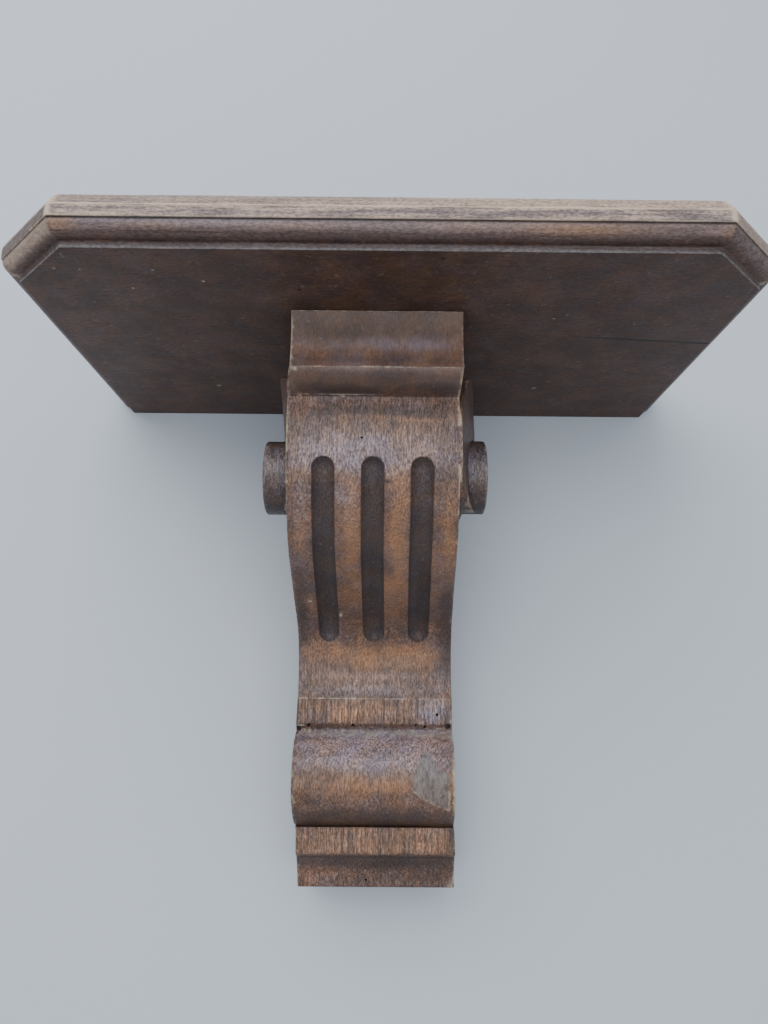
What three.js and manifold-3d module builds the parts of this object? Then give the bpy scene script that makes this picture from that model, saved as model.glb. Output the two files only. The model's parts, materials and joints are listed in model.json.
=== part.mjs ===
// A carved wooden wall bracket: a moulded shelf board on a scrolled, fluted corbel with two turned bosses.
// Millimetres. The wall is the plane y = 0, the front faces -y and z is up.
// Depths are measured out from the wall, and levels are measured down from the underside of the shelf.
import * as THREE from "three";
import { mergeVertices } from "three/addons/utils/BufferGeometryUtils.js";
import Module from "manifold-3d";

// Shelf board
const shelfWidth = 419.4;
const shelfDepth = 246.3;
const shelfCornerCut = 41; // how much of each front corner is cut off, along either edge
const shelfOffset = 7; // the middle of the board lies this far to the right of the corbel's

// Section of the shelf's edge, from the underside up
const edgeFillet = 2.8;
const edgeCove = 1;
const edgeOvoloWidth = 7.9;
const edgeOvoloHeight = 6.1;
const edgeQuirk = 0.8; // height and depth of the step under the flat band
const edgeBand = 7.9;
const edgeBevelHeight = 8.4;
const edgeBevelInset = 5.1;
const edgeBevelSwell = 0.5;

// Corbel
const corbelWidth = 98.4;
const capOverhang = 13.3; // how far the cap stands out past the scroll
const capHeight = 34.5;
const capHollow = 3.5; // how far the front of the cap is hollowed
const underCapDrop = 12; // the rounded moulding between the cap and the scroll
const underCapSwell = 2.6;

// Scroll: a full upper arc, a straight slope and a hollow lower arc
const scrollDepth = 161; // at its fullest point
const scrollLevel = 66;
const waistDepth = 67.8; // at its thinnest point
const waistLevel = 203;
const scrollRoundness = 0.92; // share of the largest pair of arcs that fits, the rest is the slope
const scrollUpperShare = 2 / 3; // share of the two radii that the upper arc has

// Mouldings under the waist, from the waist down
const footNeck = 14.6; // from the thinnest point to the edge of the upper fillet
const upperFillet = 15.9;
const grooveHeight = 4.2;
const grooveDepth = 4.6;
const torusRadius = 30;
const torusSwell = 16.8; // how far it stands out past the upper fillet
const lowerFillet = 16;
const lowerFilletSetback = 1.2; // behind the upper fillet
const plinthStep = 5.5; // how far the plinth steps back under the lower fillet
const plinthHeight = 21.6;
const plinthSlope = 8; // how far the plinth leans back to the bottom
const plinthHollow = 1.6;

// Flutes in the front of the scroll
const fluteCount = 3;
const flutePitch = 28;
const fluteWidth = 13;
const fluteDepth = 4.6;
const fluteMargin = 36.3; // along the curve, from either end of the scroll

// Bosses and the cheeks that wind round them
const bossRadius = 22.5;
const bossThickness = 15; // at its rim, without the dome
const bossRim = 3;
const bossDome = 1;
const bossSetback = 39; // behind the scroll's fullest point
const bossDrop = 20; // below the scroll's fullest point
const cheekSpread = 10.8; // how far a cheek stands out of the corbel's side
const cheekTopLevel = 20;
const cheekFootLevel = 92; // where the lower edge of a cheek meets the wall
const cheekFootHollow = 7;

const gap = 0.3; // between pieces that touch
const arcStep = THREE.MathUtils.degToRad(5);
const roundSides = 16; // round each flute's section
const bossSides = 48;

const wasm = await Module();
wasm.setup();

// A solid that can be joined and cut, from a closed geometry.
function solidFrom(geometry) {
  const bare = geometry.clone();
  bare.deleteAttribute("normal");
  bare.deleteAttribute("uv");
  const merged = mergeVertices(bare, 1e-4);
  const vertProperties = merged.attributes.position.array;
  return new wasm.Manifold(new wasm.Mesh({ numProp: 3, vertProperties, triVerts: merged.index.array }));
}

// The geometry of a solid.
function geometryFrom(solid) {
  const mesh = solid.getMesh();
  const geometry = new THREE.BufferGeometry();
  geometry.setAttribute("position", new THREE.BufferAttribute(mesh.vertProperties, 3));
  geometry.setIndex(new THREE.BufferAttribute(mesh.triVerts, 1));
  const faceted = geometry.toNonIndexed();
  faceted.computeVertexNormals();
  return faceted;
}

// An outline extruded evenly to both sides of its plane. Its first axis then points along across,
// and its second axis along up.
function extruded(outline, length, across, up) {
  const geometry = new THREE.ExtrudeGeometry(outline, { depth: length, steps: 1, bevelEnabled: false });
  geometry.translate(0, 0, -length / 2);
  const along = new THREE.Vector3().crossVectors(across, up);
  return geometry.applyMatrix4(new THREE.Matrix4().makeBasis(across, up, along));
}

const out = new THREE.Vector3(0, -1, 0); // away from the wall
const up = new THREE.Vector3(0, 0, 1);

// Carries an outline that runs clockwise on to a point along a round arc. The arc bows outwards
// by rise, or inwards where rise is negative.
function bowTo(outline, x, y, rise) {
  const from = outline.currentPoint.clone();
  const to = new THREE.Vector2(x, y);
  const chord = to.clone().sub(from);
  const half = chord.length() / 2;
  const radius = (half * half + rise * rise) / (2 * Math.abs(rise));
  const outwards = new THREE.Vector2(-chord.y, chord.x).normalize();
  const centre = from.clone().add(to).multiplyScalar(0.5);
  centre.addScaledVector(outwards, rise - Math.sign(rise) * radius);
  const start = from.clone().sub(centre).angle();
  const turn = 2 * Math.asin(half / radius) * -Math.sign(rise);
  const steps = Math.max(2, Math.ceil(Math.abs(turn) / arcStep));
  for (let i = 1; i < steps; i++) {
    const angle = start + (turn * i) / steps;
    outline.lineTo(centre.x + radius * Math.cos(angle), centre.y + radius * Math.sin(angle));
  }
  outline.lineTo(x, y);
}

// The front of the scroll as a curve of two arcs and the slope that touches both.
const scrollFall = waistLevel - scrollLevel;
const scrollReach = scrollDepth - waistDepth;
const largestRadii = (scrollReach ** 2 + scrollFall ** 2) / (2 * scrollReach);
const radii = largestRadii * scrollRoundness;
const upperRadius = radii * scrollUpperShare;
const lowerRadius = radii - upperRadius;
const upperCentre = new THREE.Vector2(scrollDepth - upperRadius, -scrollLevel);
const lowerCentre = new THREE.Vector2(waistDepth + lowerRadius, -waistLevel);
const between = lowerCentre.clone().sub(upperCentre);
const slopeLength = Math.sqrt(between.lengthSq() - radii * radii);
const slopeAngle = Math.atan2(-between.y, between.x) - Math.acos(radii / between.length());
const scrollTop = -(capHeight + underCapDrop);
const topAngle = Math.asin((scrollTop + scrollLevel) / upperRadius);
const neckAngle = Math.asin(footNeck / lowerRadius);
const upperLength = upperRadius * (topAngle + slopeAngle);
const lowerLength = lowerRadius * (slopeAngle + neckAngle);
const scrollLength = upperLength + slopeLength + lowerLength;

// The point of the scroll at a distance along it from its top, moved out of the wood by proud.
function scrollPoint(distance, proud) {
  if (distance <= upperLength) {
    const angle = topAngle - distance / upperRadius;
    const reach = upperRadius + proud;
    return new THREE.Vector2(Math.cos(angle), Math.sin(angle)).multiplyScalar(reach).add(upperCentre);
  }
  const past = distance - upperLength - slopeLength;
  const angle = slopeAngle - Math.max(0, past) / lowerRadius;
  const normal = new THREE.Vector2(Math.cos(angle), -Math.sin(angle));
  const point = lowerCentre.clone().addScaledVector(normal, proud - lowerRadius);
  const downSlope = new THREE.Vector2(-Math.sin(slopeAngle), -Math.cos(slopeAngle));
  return point.addScaledVector(downSlope, Math.min(0, past));
}

// Side outline of the corbel, from the wall under the shelf round to the wall at the bottom.
function corbelOutline() {
  const outline = new THREE.Shape();
  const capDepth = scrollDepth + capOverhang;
  outline.moveTo(0, -gap);
  outline.lineTo(capDepth, -gap);
  bowTo(outline, capDepth, -capHeight, -capHollow);
  const top = scrollPoint(0, 0);
  bowTo(outline, top.x, top.y, underCapSwell);
  const steps = Math.ceil(scrollLength / (upperRadius * arcStep));
  for (let i = 1; i <= steps; i++) {
    const point = scrollPoint((scrollLength * i) / steps, 0);
    outline.lineTo(point.x, point.y);
  }
  const neck = outline.currentPoint.clone();
  let level = neck.y - upperFillet;
  outline.lineTo(neck.x, level);
  const torusCentre = neck.x + torusSwell - torusRadius;
  const torusStart = Math.acos((neck.x - grooveDepth - torusCentre) / torusRadius);
  const torusLevel = level - grooveHeight - torusRadius * Math.sin(torusStart);
  outline.lineTo(neck.x - grooveDepth, level - grooveHeight);
  const torusSteps = Math.ceil((2 * torusStart) / arcStep);
  for (let i = 1; i <= torusSteps; i++) {
    const angle = torusStart - (2 * torusStart * i) / torusSteps;
    outline.lineTo(torusCentre + torusRadius * Math.cos(angle), torusLevel + torusRadius * Math.sin(angle));
  }
  level = outline.currentPoint.y;
  const lowerFilletDepth = neck.x - lowerFilletSetback;
  outline.lineTo(lowerFilletDepth, level);
  outline.lineTo(lowerFilletDepth, level - lowerFillet);
  const plinthDepth = lowerFilletDepth - plinthStep;
  outline.lineTo(plinthDepth, level - lowerFillet - plinthStep / 2);
  bowTo(outline, plinthDepth - plinthSlope, level - lowerFillet - plinthHeight, -plinthHollow);
  outline.lineTo(0, outline.currentPoint.y);
  return outline;
}

const bossDepth = scrollDepth - bossSetback;
const bossLevel = scrollLevel + bossDrop;

// Side outline of the cheeks: back from the wall along the top, then a spiral that winds into the boss.
function cheekOutline() {
  const frontRadius = upperCentre.x + Math.sqrt(upperRadius ** 2 - bossDrop ** 2) - bossDepth;
  const topRadius = bossLevel - cheekTopLevel;
  const growth = Math.log(topRadius / frontRadius) / (Math.PI / 2);
  const innerAngle = Math.log((0.8 * bossRadius) / frontRadius) / growth;
  const outline = new THREE.Shape();
  outline.moveTo(0, -cheekTopLevel);
  const steps = Math.ceil((Math.PI / 2 - innerAngle) / arcStep);
  for (let i = 0; i <= steps; i++) {
    const angle = Math.PI / 2 + ((innerAngle - Math.PI / 2) * i) / steps;
    const radius = frontRadius * Math.exp(growth * angle);
    outline.lineTo(bossDepth + radius * Math.cos(angle), radius * Math.sin(angle) - bossLevel);
  }
  bowTo(outline, 0, -cheekFootLevel, -cheekFootHollow);
  return outline;
}

// Plan outline of the cheeks: they spread from the front of the scroll back to the bosses.
function cheekPlan() {
  const side = corbelWidth / 2;
  const start = scrollDepth - 1;
  return new THREE.Shape(
    [
      [-side - cheekSpread, 0],
      [-side - cheekSpread, -bossDepth],
      [-side, -start],
      [side, -start],
      [side + cheekSpread, -bossDepth],
      [side + cheekSpread, 0],
    ].map(([x, y]) => new THREE.Vector2(x, y)),
  );
}

// The path that a gouge follows down one flute.
class FlutePath extends THREE.Curve {
  constructor(x, proud) {
    super();
    this.x = x;
    this.proud = proud;
  }
  getPoint(t, target = new THREE.Vector3()) {
    const end = fluteMargin + fluteWidth / 2;
    const point = scrollPoint(end + t * (scrollLength - 2 * end), this.proud);
    return target.set(this.x, -point.x, point.y);
  }
}

// A flute's cutter: a round bar along the scroll with a ball at each end.
function fluteCutter(x) {
  const radius = (fluteWidth ** 2 / 4 + fluteDepth ** 2) / (2 * fluteDepth);
  const path = new FlutePath(x, radius - fluteDepth);
  const corners = Array.from({ length: roundSides }, (unused, i) => {
    const angle = ((i + 0.5) / roundSides) * 2 * Math.PI;
    return new THREE.Vector2(radius * Math.cos(angle), radius * Math.sin(angle));
  });
  const steps = Math.ceil((scrollLength - 2 * fluteMargin) / (upperRadius * arcStep));
  const bar = new THREE.ExtrudeGeometry(new THREE.Shape(corners), { steps, extrudePath: path });
  let cutter = solidFrom(bar);
  for (const t of [0, 1]) {
    const ball = new THREE.SphereGeometry(radius, roundSides, roundSides / 2);
    ball.translate(...path.getPoint(t).toArray());
    cutter = cutter.add(solidFrom(ball));
  }
  return cutter;
}

// A turned boss, flat at its foot, with a rounded rim and a slightly domed face.
function bossGeometry() {
  const profile = new THREE.Path();
  profile.moveTo(0, 0);
  profile.lineTo(bossRadius, 0);
  profile.lineTo(bossRadius, bossThickness - bossRim);
  profile.absarc(bossRadius - bossRim, bossThickness - bossRim, bossRim, 0, Math.PI / 2, false);
  profile.quadraticCurveTo((bossRadius - bossRim) / 2, bossThickness + bossDome, 0, bossThickness + bossDome);
  return new THREE.LatheGeometry(profile.getPoints(3), bossSides);
}

// The corbel: the side outline across its width, with the cheeks added and the seats and flutes cut.
function corbelSolid() {
  const width = corbelWidth + 2 * cheekSpread;
  const height = 2 * waistLevel;
  const cheeks = solidFrom(extruded(cheekOutline(), width, out, up)).intersect(
    solidFrom(extruded(cheekPlan(), height, new THREE.Vector3(1, 0, 0), new THREE.Vector3(0, 1, 0))),
  );
  let corbel = solidFrom(extruded(corbelOutline(), corbelWidth, out, up)).add(cheeks);
  const seatLength = 2 * cheekSpread;
  for (const side of [-1, 1]) {
    const seat = new THREE.CylinderGeometry(bossRadius + gap, bossRadius + gap, seatLength, bossSides);
    seat.rotateZ(Math.PI / 2);
    seat.translate((side * (corbelWidth + seatLength)) / 2, -bossDepth, -bossLevel);
    corbel = corbel.subtract(solidFrom(seat));
  }
  for (let i = 0; i < fluteCount; i++) {
    corbel = corbel.subtract(fluteCutter((i - (fluteCount - 1) / 2) * flutePitch));
  }
  return corbel;
}

// Section of the shelf's edge, drawn from reach inwards past the middle of the board.
function edgeSection(reach, inwards) {
  const lowest = reach - edgeQuirk - edgeOvoloWidth - edgeCove;
  const section = new THREE.Shape();
  section.moveTo(lowest, 0);
  section.lineTo(lowest, edgeFillet);
  section.absarc(lowest + edgeCove, edgeFillet, edgeCove, Math.PI, Math.PI / 2, true);
  let level = edgeFillet + edgeCove;
  const ovoloFoot = lowest + edgeCove;
  level += edgeOvoloHeight;
  section.absellipse(ovoloFoot, level, edgeOvoloWidth, edgeOvoloHeight, -Math.PI / 2, 0, false);
  level += edgeQuirk;
  section.lineTo(reach - edgeQuirk, level);
  section.lineTo(reach, level);
  level += edgeBand;
  section.lineTo(reach, level);
  const bevelTop = level + edgeBevelHeight;
  section.quadraticCurveTo(
    reach - edgeBevelInset / 2 + edgeBevelSwell,
    level + edgeBevelHeight / 2 + edgeBevelSwell,
    reach - edgeBevelInset,
    bevelTop,
  );
  section.lineTo(-inwards, bevelTop);
  section.lineTo(-inwards, 0);
  return section;
}

const shelfThickness =
  edgeFillet + edgeCove + edgeOvoloHeight + edgeQuirk + edgeBand + edgeBevelHeight;

// The shelf board: what lies inside all of its moulded edges, which gives each corner its mitre.
function shelfSolid() {
  const size = shelfWidth + shelfDepth;
  const cutReach = (shelfWidth / 2 + shelfDepth - shelfCornerCut) / Math.SQRT2;
  const edges = [
    [0, shelfWidth / 2],
    [-Math.PI / 4, cutReach],
    [-Math.PI / 2, shelfDepth],
    [(-3 * Math.PI) / 4, cutReach],
    [-Math.PI, shelfWidth / 2],
  ];
  const room = new THREE.BoxGeometry(size, shelfDepth + size, 3 * shelfThickness);
  let board = solidFrom(room.translate(0, -(shelfDepth + size) / 2, 0));
  for (const [angle, reach] of edges) {
    const across = new THREE.Vector3(Math.cos(angle), Math.sin(angle), 0);
    board = board.intersect(solidFrom(extruded(edgeSection(reach, size), 2 * size, across, up)));
  }
  return board;
}

const shelfWood = new THREE.MeshStandardMaterial({ color: 0x3b2b22, roughness: 0.5, metalness: 0 });
const corbelWood = new THREE.MeshStandardMaterial({ color: 0x5b4232, roughness: 0.45, metalness: 0 });
const bossWood = new THREE.MeshStandardMaterial({ color: 0x40302a, roughness: 0.5, metalness: 0 });

const bracket = new THREE.Group();
const corbelFoot = -corbelOutline().currentPoint.y;
bracket.position.z = corbelFoot / 2; // the origin is on the wall at half the height of the corbel's back

const shelf = new THREE.Mesh(geometryFrom(shelfSolid()), shelfWood);
shelf.name = "shelf_board";
shelf.position.x = shelfOffset;
bracket.add(shelf);

const corbel = new THREE.Mesh(geometryFrom(corbelSolid()), corbelWood);
corbel.name = "corbel";
bracket.add(corbel);

for (const [name, side] of [
  ["boss_left", -1],
  ["boss_right", 1],
]) {
  const boss = new THREE.Mesh(bossGeometry(), bossWood);
  boss.name = name;
  boss.rotation.z = (-side * Math.PI) / 2;
  boss.position.set(side * (corbelWidth / 2 + gap), -bossDepth, -bossLevel);
  bracket.add(boss);
}

export default bracket;
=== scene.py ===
import json
import math

import bpy
import numpy as np
from mathutils import Matrix, Vector

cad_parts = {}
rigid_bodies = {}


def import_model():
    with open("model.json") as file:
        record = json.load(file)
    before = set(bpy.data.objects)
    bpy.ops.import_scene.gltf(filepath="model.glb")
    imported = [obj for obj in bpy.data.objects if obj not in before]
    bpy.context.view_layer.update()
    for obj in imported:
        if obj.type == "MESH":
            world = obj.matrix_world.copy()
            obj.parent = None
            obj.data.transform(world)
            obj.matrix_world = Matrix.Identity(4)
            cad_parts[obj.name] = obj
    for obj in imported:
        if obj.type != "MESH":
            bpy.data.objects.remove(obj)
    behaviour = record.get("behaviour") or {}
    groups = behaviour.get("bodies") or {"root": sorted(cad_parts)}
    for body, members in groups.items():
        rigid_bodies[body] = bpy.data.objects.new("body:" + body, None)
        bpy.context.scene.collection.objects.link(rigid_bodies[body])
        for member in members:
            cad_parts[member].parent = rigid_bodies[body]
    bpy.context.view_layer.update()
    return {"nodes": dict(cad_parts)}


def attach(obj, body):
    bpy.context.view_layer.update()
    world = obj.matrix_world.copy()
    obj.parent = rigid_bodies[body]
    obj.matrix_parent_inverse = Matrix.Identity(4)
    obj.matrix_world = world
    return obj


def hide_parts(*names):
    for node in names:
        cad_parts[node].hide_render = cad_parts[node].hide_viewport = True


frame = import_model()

mm = 0.001
print("frame loaded:", sorted(frame["nodes"]))


def latticeNoise(points, size, seed):
    # Random heights on a cubic lattice of the given cell size. Inside a cell they are blended
    # along each axis by 3t^2 - 2t^3. Gives -1 to 1.
    source = np.random.default_rng(seed)
    heights = source.random(4096) * 2 - 1
    order = source.permutation(4096)
    cell = np.asarray(points, float) / size
    low = np.floor(cell).astype(int)
    part = cell - low
    part = part * part * (3 - 2 * part)
    total = np.zeros(cell.shape[:-1])
    for dx, dy, dz in np.ndindex(2, 2, 2):
        key = order[(low[..., 0] + dx) % 4096]
        key = order[(key + low[..., 1] + dy) % 4096]
        key = order[(key + low[..., 2] + dz) % 4096]
        share = np.ones(cell.shape[:-1])
        for axis, step in enumerate((dx, dy, dz)):
            share = share * (part[..., axis] if step else 1 - part[..., axis])
        total += share * heights[key]
    return total


def roughNoise(points, size, seed):
    # Three layers of lattice noise, each half as large and half as strong as the one before.
    return sum(latticeNoise(points, size / 2**i, seed + i) / 2**i for i in range(3)) / 1.75


def smoothStep(low, high, value):
    # 0 at low, 1 at high, 3t^2 - 2t^3 between them.
    t = np.clip((value - low) / (high - low), 0, 1)
    return t * t * (3 - 2 * t)


def divided(corners, step):
    # A polyline with extra points on its straight runs, no more than step apart. Corners stay.
    corners = np.asarray(corners, float)
    runs = []
    for a, b in zip(corners[:-1], corners[1:]):
        count = max(1, math.ceil(np.hypot(*(b - a)) / step))
        runs.append(a + (b - a) * np.arange(count)[:, None] / count)
    return np.vstack(runs + [corners[-1:]])


def softened(line, radius):
    # The polyline averaged with its neighbours by a bell curve of the given radius along its
    # length. Past each end it is carried on by its own point reflection, so both ends stay.
    length = np.concatenate([[0], np.cumsum(np.hypot(*np.diff(line, axis=0).T))])
    width = np.gradient(length)[None, :]
    here, there = length[:, None], length[None, :]
    bell = np.exp(-0.5 * ((here - there) / radius) ** 2) * width
    before = np.exp(-0.5 * ((here + there) / radius) ** 2) * width
    after = np.exp(-0.5 * ((2 * length[-1] - here - there) / radius) ** 2) * width
    total = (bell + before + after).sum(1, keepdims=True)
    return (bell @ line + before @ (2 * line[0] - line) + after @ (2 * line[-1] - line)) / total


def arcPoints(centre, radii, start, end, count):
    # Points centre + (radii.x cos a, radii.y sin a), with a running evenly from start to end.
    angle = np.linspace(start, end, count)
    return np.stack([centre[0] + radii[0] * np.cos(angle), centre[1] + radii[1] * np.sin(angle)], 1)


def bowed(start, end, rise, count):
    # A round arc from start to end that bows to the left of the chord by rise.
    start, end = np.array(start, float), np.array(end, float)
    chord = end - start
    half = np.hypot(*chord) / 2
    t = np.linspace(-1, 1, count)
    radius = (half * half + rise * rise) / (2 * abs(rise))
    height = np.sqrt(radius**2 - (t * half) ** 2) - (radius - abs(rise))
    left = np.array([-chord[1], chord[0]]) / (2 * half)
    return start + chord * (t[:, None] + 1) / 2 + left * (height * np.sign(rise))[:, None]


def pulled(start, pull, end, t):
    # A curve from start to end that leaves and arrives in line with the point pull.
    return (1 - t) ** 2 * start + 2 * t * (1 - t) * pull + t**2 * end


def gridQuads(rows, columns, closed=False):
    # The four corners of each cell of a grid. A closed grid joins its last column to its first.
    row, column = np.meshgrid(np.arange(rows - 1), np.arange(columns - (not closed)), indexing="ij")
    following = (column + 1) % columns
    quads = [row * columns + column, (row + 1) * columns + column]
    quads += [(row + 1) * columns + following, row * columns + following]
    return np.stack(quads, -1).reshape(-1, 4).tolist()


def tubeFaces(rows, columns):
    # The cells of a closed grid and the rings at both its ends.
    index = np.arange(rows * columns).reshape(rows, columns)
    return gridQuads(rows, columns, closed=True) + [index[0].tolist(), index[-1][::-1].tolist()]


def vertexPoints(mesh):
    flat = np.empty(len(mesh.vertices) * 3)
    mesh.vertices.foreach_get("co", flat)
    return flat.reshape(-1, 3)


def finishMesh(mesh, sharpAngle):
    # Turns a closed mesh round where its volume, the sum of a . (b x c) / 6 over its triangles,
    # is negative. Then shades it smooth up to the given angle.
    mesh.calc_loop_triangles()
    corner = np.empty(len(mesh.loop_triangles) * 3, dtype=np.int32)
    mesh.loop_triangles.foreach_get("vertices", corner)
    a, b, c = np.moveaxis(vertexPoints(mesh)[corner].reshape(-1, 3, 3), 1, 0)
    if np.einsum("ij,ij->i", a, np.cross(b, c)).sum() < 0:
        mesh.flip_normals()
    mesh.polygons.foreach_set("use_smooth", np.ones(len(mesh.polygons), dtype=bool))
    mesh.set_sharp_from_angle(angle=math.radians(sharpAngle))


def newObject(name, data):
    made = bpy.data.objects.new(name, data)
    bpy.context.collection.objects.link(made)
    return made


def newPiece(name, points, faces, sharpAngle=32):
    # A mesh object from points in millimetres, its faces turned outwards.
    mesh = bpy.data.meshes.new(name)
    mesh.from_pydata((np.asarray(points) * mm).tolist(), [], faces)
    piece = newObject(name, mesh)
    finishMesh(mesh, sharpAngle)
    return piece


def paint(mesh, name, values):
    # One number for each vertex, which the materials read by its name.
    layer = mesh.attributes.new(name, "FLOAT", "POINT")
    layer.data.foreach_set("value", np.clip(values, 0, 1).astype(np.float32))


def combine(base, tool, operation, solver="MANIFOLD"):
    # Joins the tool to the base piece, or cuts it out, and removes the tool.
    modifier = base.modifiers.new("combine", "BOOLEAN")
    modifier.operation = operation
    modifier.solver = solver
    modifier.object = tool
    bpy.context.view_layer.update()
    shaped = base.evaluated_get(bpy.context.evaluated_depsgraph_get())
    mesh = bpy.data.meshes.new_from_object(shaped)
    base.modifiers.clear()
    old, base.data = base.data, mesh
    bpy.data.meshes.remove(old)
    mesh.name = base.name
    bpy.data.objects.remove(tool)


def blots(x, z, places):
    # The strongest of several oval blots (middle x, middle z, half width, half height, strength),
    # each a bell curve.
    best = np.zeros(np.shape(x))
    for px, pz, rx, rz, strength in places:
        best = np.maximum(best, strength * np.exp(-(((x - px) / rx) ** 2 + ((z - pz) / rz) ** 2)))
    return best


def nearness(points, places, radius):
    # exp(-(d/radius)^2), where d is the distance to the nearest of the places.
    apart = np.linalg.norm(points[:, None, :] - np.asarray(places)[None, :, :], axis=2).min(1)
    return np.exp(-((apart / radius) ** 2))


shelf = {
    "width": 419.4,
    "depth": 246.3,
    "cornerCut": 41,
    "offset": 7,
    "underside": 166.391,
    "fillet": 2.8,
    "cove": 1.0,
    "ovolo": (7.9, 7.0),  # depth and height
    "quirk": 0.8,
    "band": 7.0,
    "bevel": (5.1, 8.4),
    "bevelSwell": 0.5,
    "cornerWear": (1.2, 1.6, 4.5, 1.6),  # radius of each worn mitre, from the left end round
    "lightWear": 0.45,  # rounding of the arrises where they are sharp and where they are worn
    "heavyWear": 1.5,
    "wornShare": 0.45,  # how much of the strong rounding the most worn places have
    "waviness": 0.16,
    "spacing": (3.0, 2.0, 1.6, 2.0, 3.0),  # between the rows of each run, from the left side round
    "paleAndLit": {"front": (0.74, 0.36), "leftCut": (0.0, 1.1),  # how pale the band and the ovolo are; on the cut faces partly painted light and shade, light on the left ovolo and dark on the left band
             "rightCut": (0.6, 0.4), "sides": (0.35, 0.35)},
    "grubby": ((-150, 14, 60, 5, 0.3), (-75, 14.5, 40, 2, 0.5), (30, 15, 60, 2.2, 0.55),  # blots of the band
               (110, 15.5, 30, 1.8, 0.6), (165, 14, 34, 3.5, 0.6)),
    "rubbed": ((-156, 9, 9, 5, 0.9), (-110, 8, 22, 2, 0.4), (-40, 8, 30, 2, 0.4),  # blots of the ovolo
               (45, 8, 18, 2, 0.4), (100, 7.5, 34, 2.6, 1.0), (178, 6.5, 12, 3, 0.8)),
}


def shelfLevels():
    # Where the ovolo, the band and the bevel start over the underside, and the fillet's inset.
    s = shelf
    low = s["fillet"] + s["cove"]
    quirkLevel = low + s["ovolo"][1] + s["quirk"]
    return low, quirkLevel, quirkLevel + s["band"], s["quirk"] + s["ovolo"][0] + s["cove"]


def shelfReaches():
    # How far the sides, the clipped corners and the front lie from the middle of the back.
    half, depth = shelf["width"] / 2, shelf["depth"]
    return half, (half + depth - shelf["cornerCut"]) / math.sqrt(2), depth


def shelfSection():
    # Inset from the edge and height, from the underside up over the mouldings to the top.
    s = shelf
    low, quirkLevel, bevelFoot, inset = shelfLevels()
    bevelTop = bevelFoot + s["bevel"][1]
    cove = arcPoints((inset - s["cove"], s["fillet"]), (s["cove"], s["cove"]), 0, math.pi / 2, 5)
    ovoloMiddle = (inset - s["cove"], low + s["ovolo"][1])
    ovolo = arcPoints(ovoloMiddle, s["ovolo"], -math.pi / 2, -math.pi, 22)
    t = np.linspace(0, 1, 22)[1:, None]
    foot, top = np.array([0, bevelFoot]), np.array([s["bevel"][0], bevelTop])
    pull = (foot + top) / 2 + np.array([-s["bevelSwell"], s["bevelSwell"]])
    bevel = pulled(foot, pull, top, t)
    line = [(inset + 6, 0), (inset, 0), *cove, *ovolo[1:], (s["quirk"], quirkLevel), (0, quirkLevel)]
    line += [(0, bevelFoot), *bevel, (s["bevel"][0] + 6, bevelTop)]
    return divided(line, 0.55)


def shelfPath():
    # Rows along the board's outline, from the left side at the wall round to the right side. Each
    # has a point for inset 0 and the way that it moves for each millimetre of inset.
    s = shelf
    half, cutReach, depth = shelfReaches()
    angles = np.radians([180, 225, 270, 315, 360])
    normals = np.stack([np.cos(angles), np.sin(angles)], 1)
    reaches = np.array([half, cutReach, depth, cutReach, half])
    ends = []  # where each straight run starts and stops, for inset 0 and for inset 1
    for inset in (0, 1):
        stops = [np.array([-(half - inset), 0.0])]
        for i, radius in enumerate(s["cornerWear"]):
            corner = np.linalg.solve(normals[i : i + 2], (reaches - inset)[i : i + 2])
            setback = radius * math.tan(math.radians(22.5))
            for j, sign in ((i, -1), (i + 1, 1)):
                stops.append(corner + sign * setback * np.array([-normals[j][1], normals[j][0]]))
        ends.append(np.array(stops + [np.array([half - inset, 0.0])]))
    points, slides = [], []
    for i, spacing in enumerate(s["spacing"]):
        a, b = 2 * i, 2 * i + 1
        count = math.ceil(np.hypot(*(ends[0][b] - ends[0][a])) / spacing)
        t = np.linspace(0, 1, count + 1)[:, None]
        sharp, moved = [end[a] + (end[b] - end[a]) * t for end in ends]
        points.append(sharp)
        slides.append(moved - sharp)
        if i < 4:  # the worn mitre, an arc that touches both runs
            radius = s["cornerWear"][i]
            middle = [end[b] - radius * normals[i] for end in ends]
            sweep = np.linspace(angles[i], angles[i + 1], 8)[1:-1]
            points.append(middle[0] + radius * np.stack([np.cos(sweep), np.sin(sweep)], 1))
            slides.append(np.repeat((middle[1] - middle[0])[None], len(sweep), 0))
    return np.vstack(points), np.vstack(slides)


def buildShelf():
    # The edge is a surface of two parameters, the place along the outline and the place on the
    # section. A point is outline + inset * slide at the section's height. The section is a mix of
    # a slightly and a strongly softened one, after how worn the arrises are there.
    s = shelf
    section = shelfSection()
    points, slides = shelfPath()
    rows, columns = len(points), len(section)
    across, forward = points[:, None, 0], points[:, None, 1]
    place = np.stack(np.broadcast_arrays(across, forward, section[None, :, 1] * 2.5), -1)
    worn = np.clip(0.35 + 0.9 * roughNoise(place, 28, 11), 0, 1) * s["wornShare"]
    light, heavy = softened(section, s["lightWear"]), softened(section, s["heavyWear"])
    rounded = light + (heavy - light) * worn[..., None]
    wave = s["waviness"] * (1 + roughNoise(place, 22, 5))
    fade = smoothStep(0, 4, section[:, 1]) * smoothStep(s["bevel"][0] + 5, s["bevel"][0], section[:, 0])
    inset = np.maximum(rounded[..., 0] + wave * fade, 0)
    flat = points[:, None, :] + slides[:, None, :] * inset[..., None]
    height = np.clip(rounded[..., 1], 0, section[-1, 1]) + s["underside"]
    grid = np.dstack([flat[..., 0] + s["offset"], np.minimum(flat[..., 1], 0), height])
    index = np.arange(rows * columns).reshape(rows, columns)
    back = index[0].tolist() + index[-1][::-1].tolist()
    faces = gridQuads(rows, columns) + [index[::-1, 0].tolist(), index[:, -1].tolist(), back]
    piece = newPiece("shelf", grid.reshape(-1, 3), faces)
    print("shelf board:", len(piece.data.vertices), "vertices")
    return piece


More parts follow.
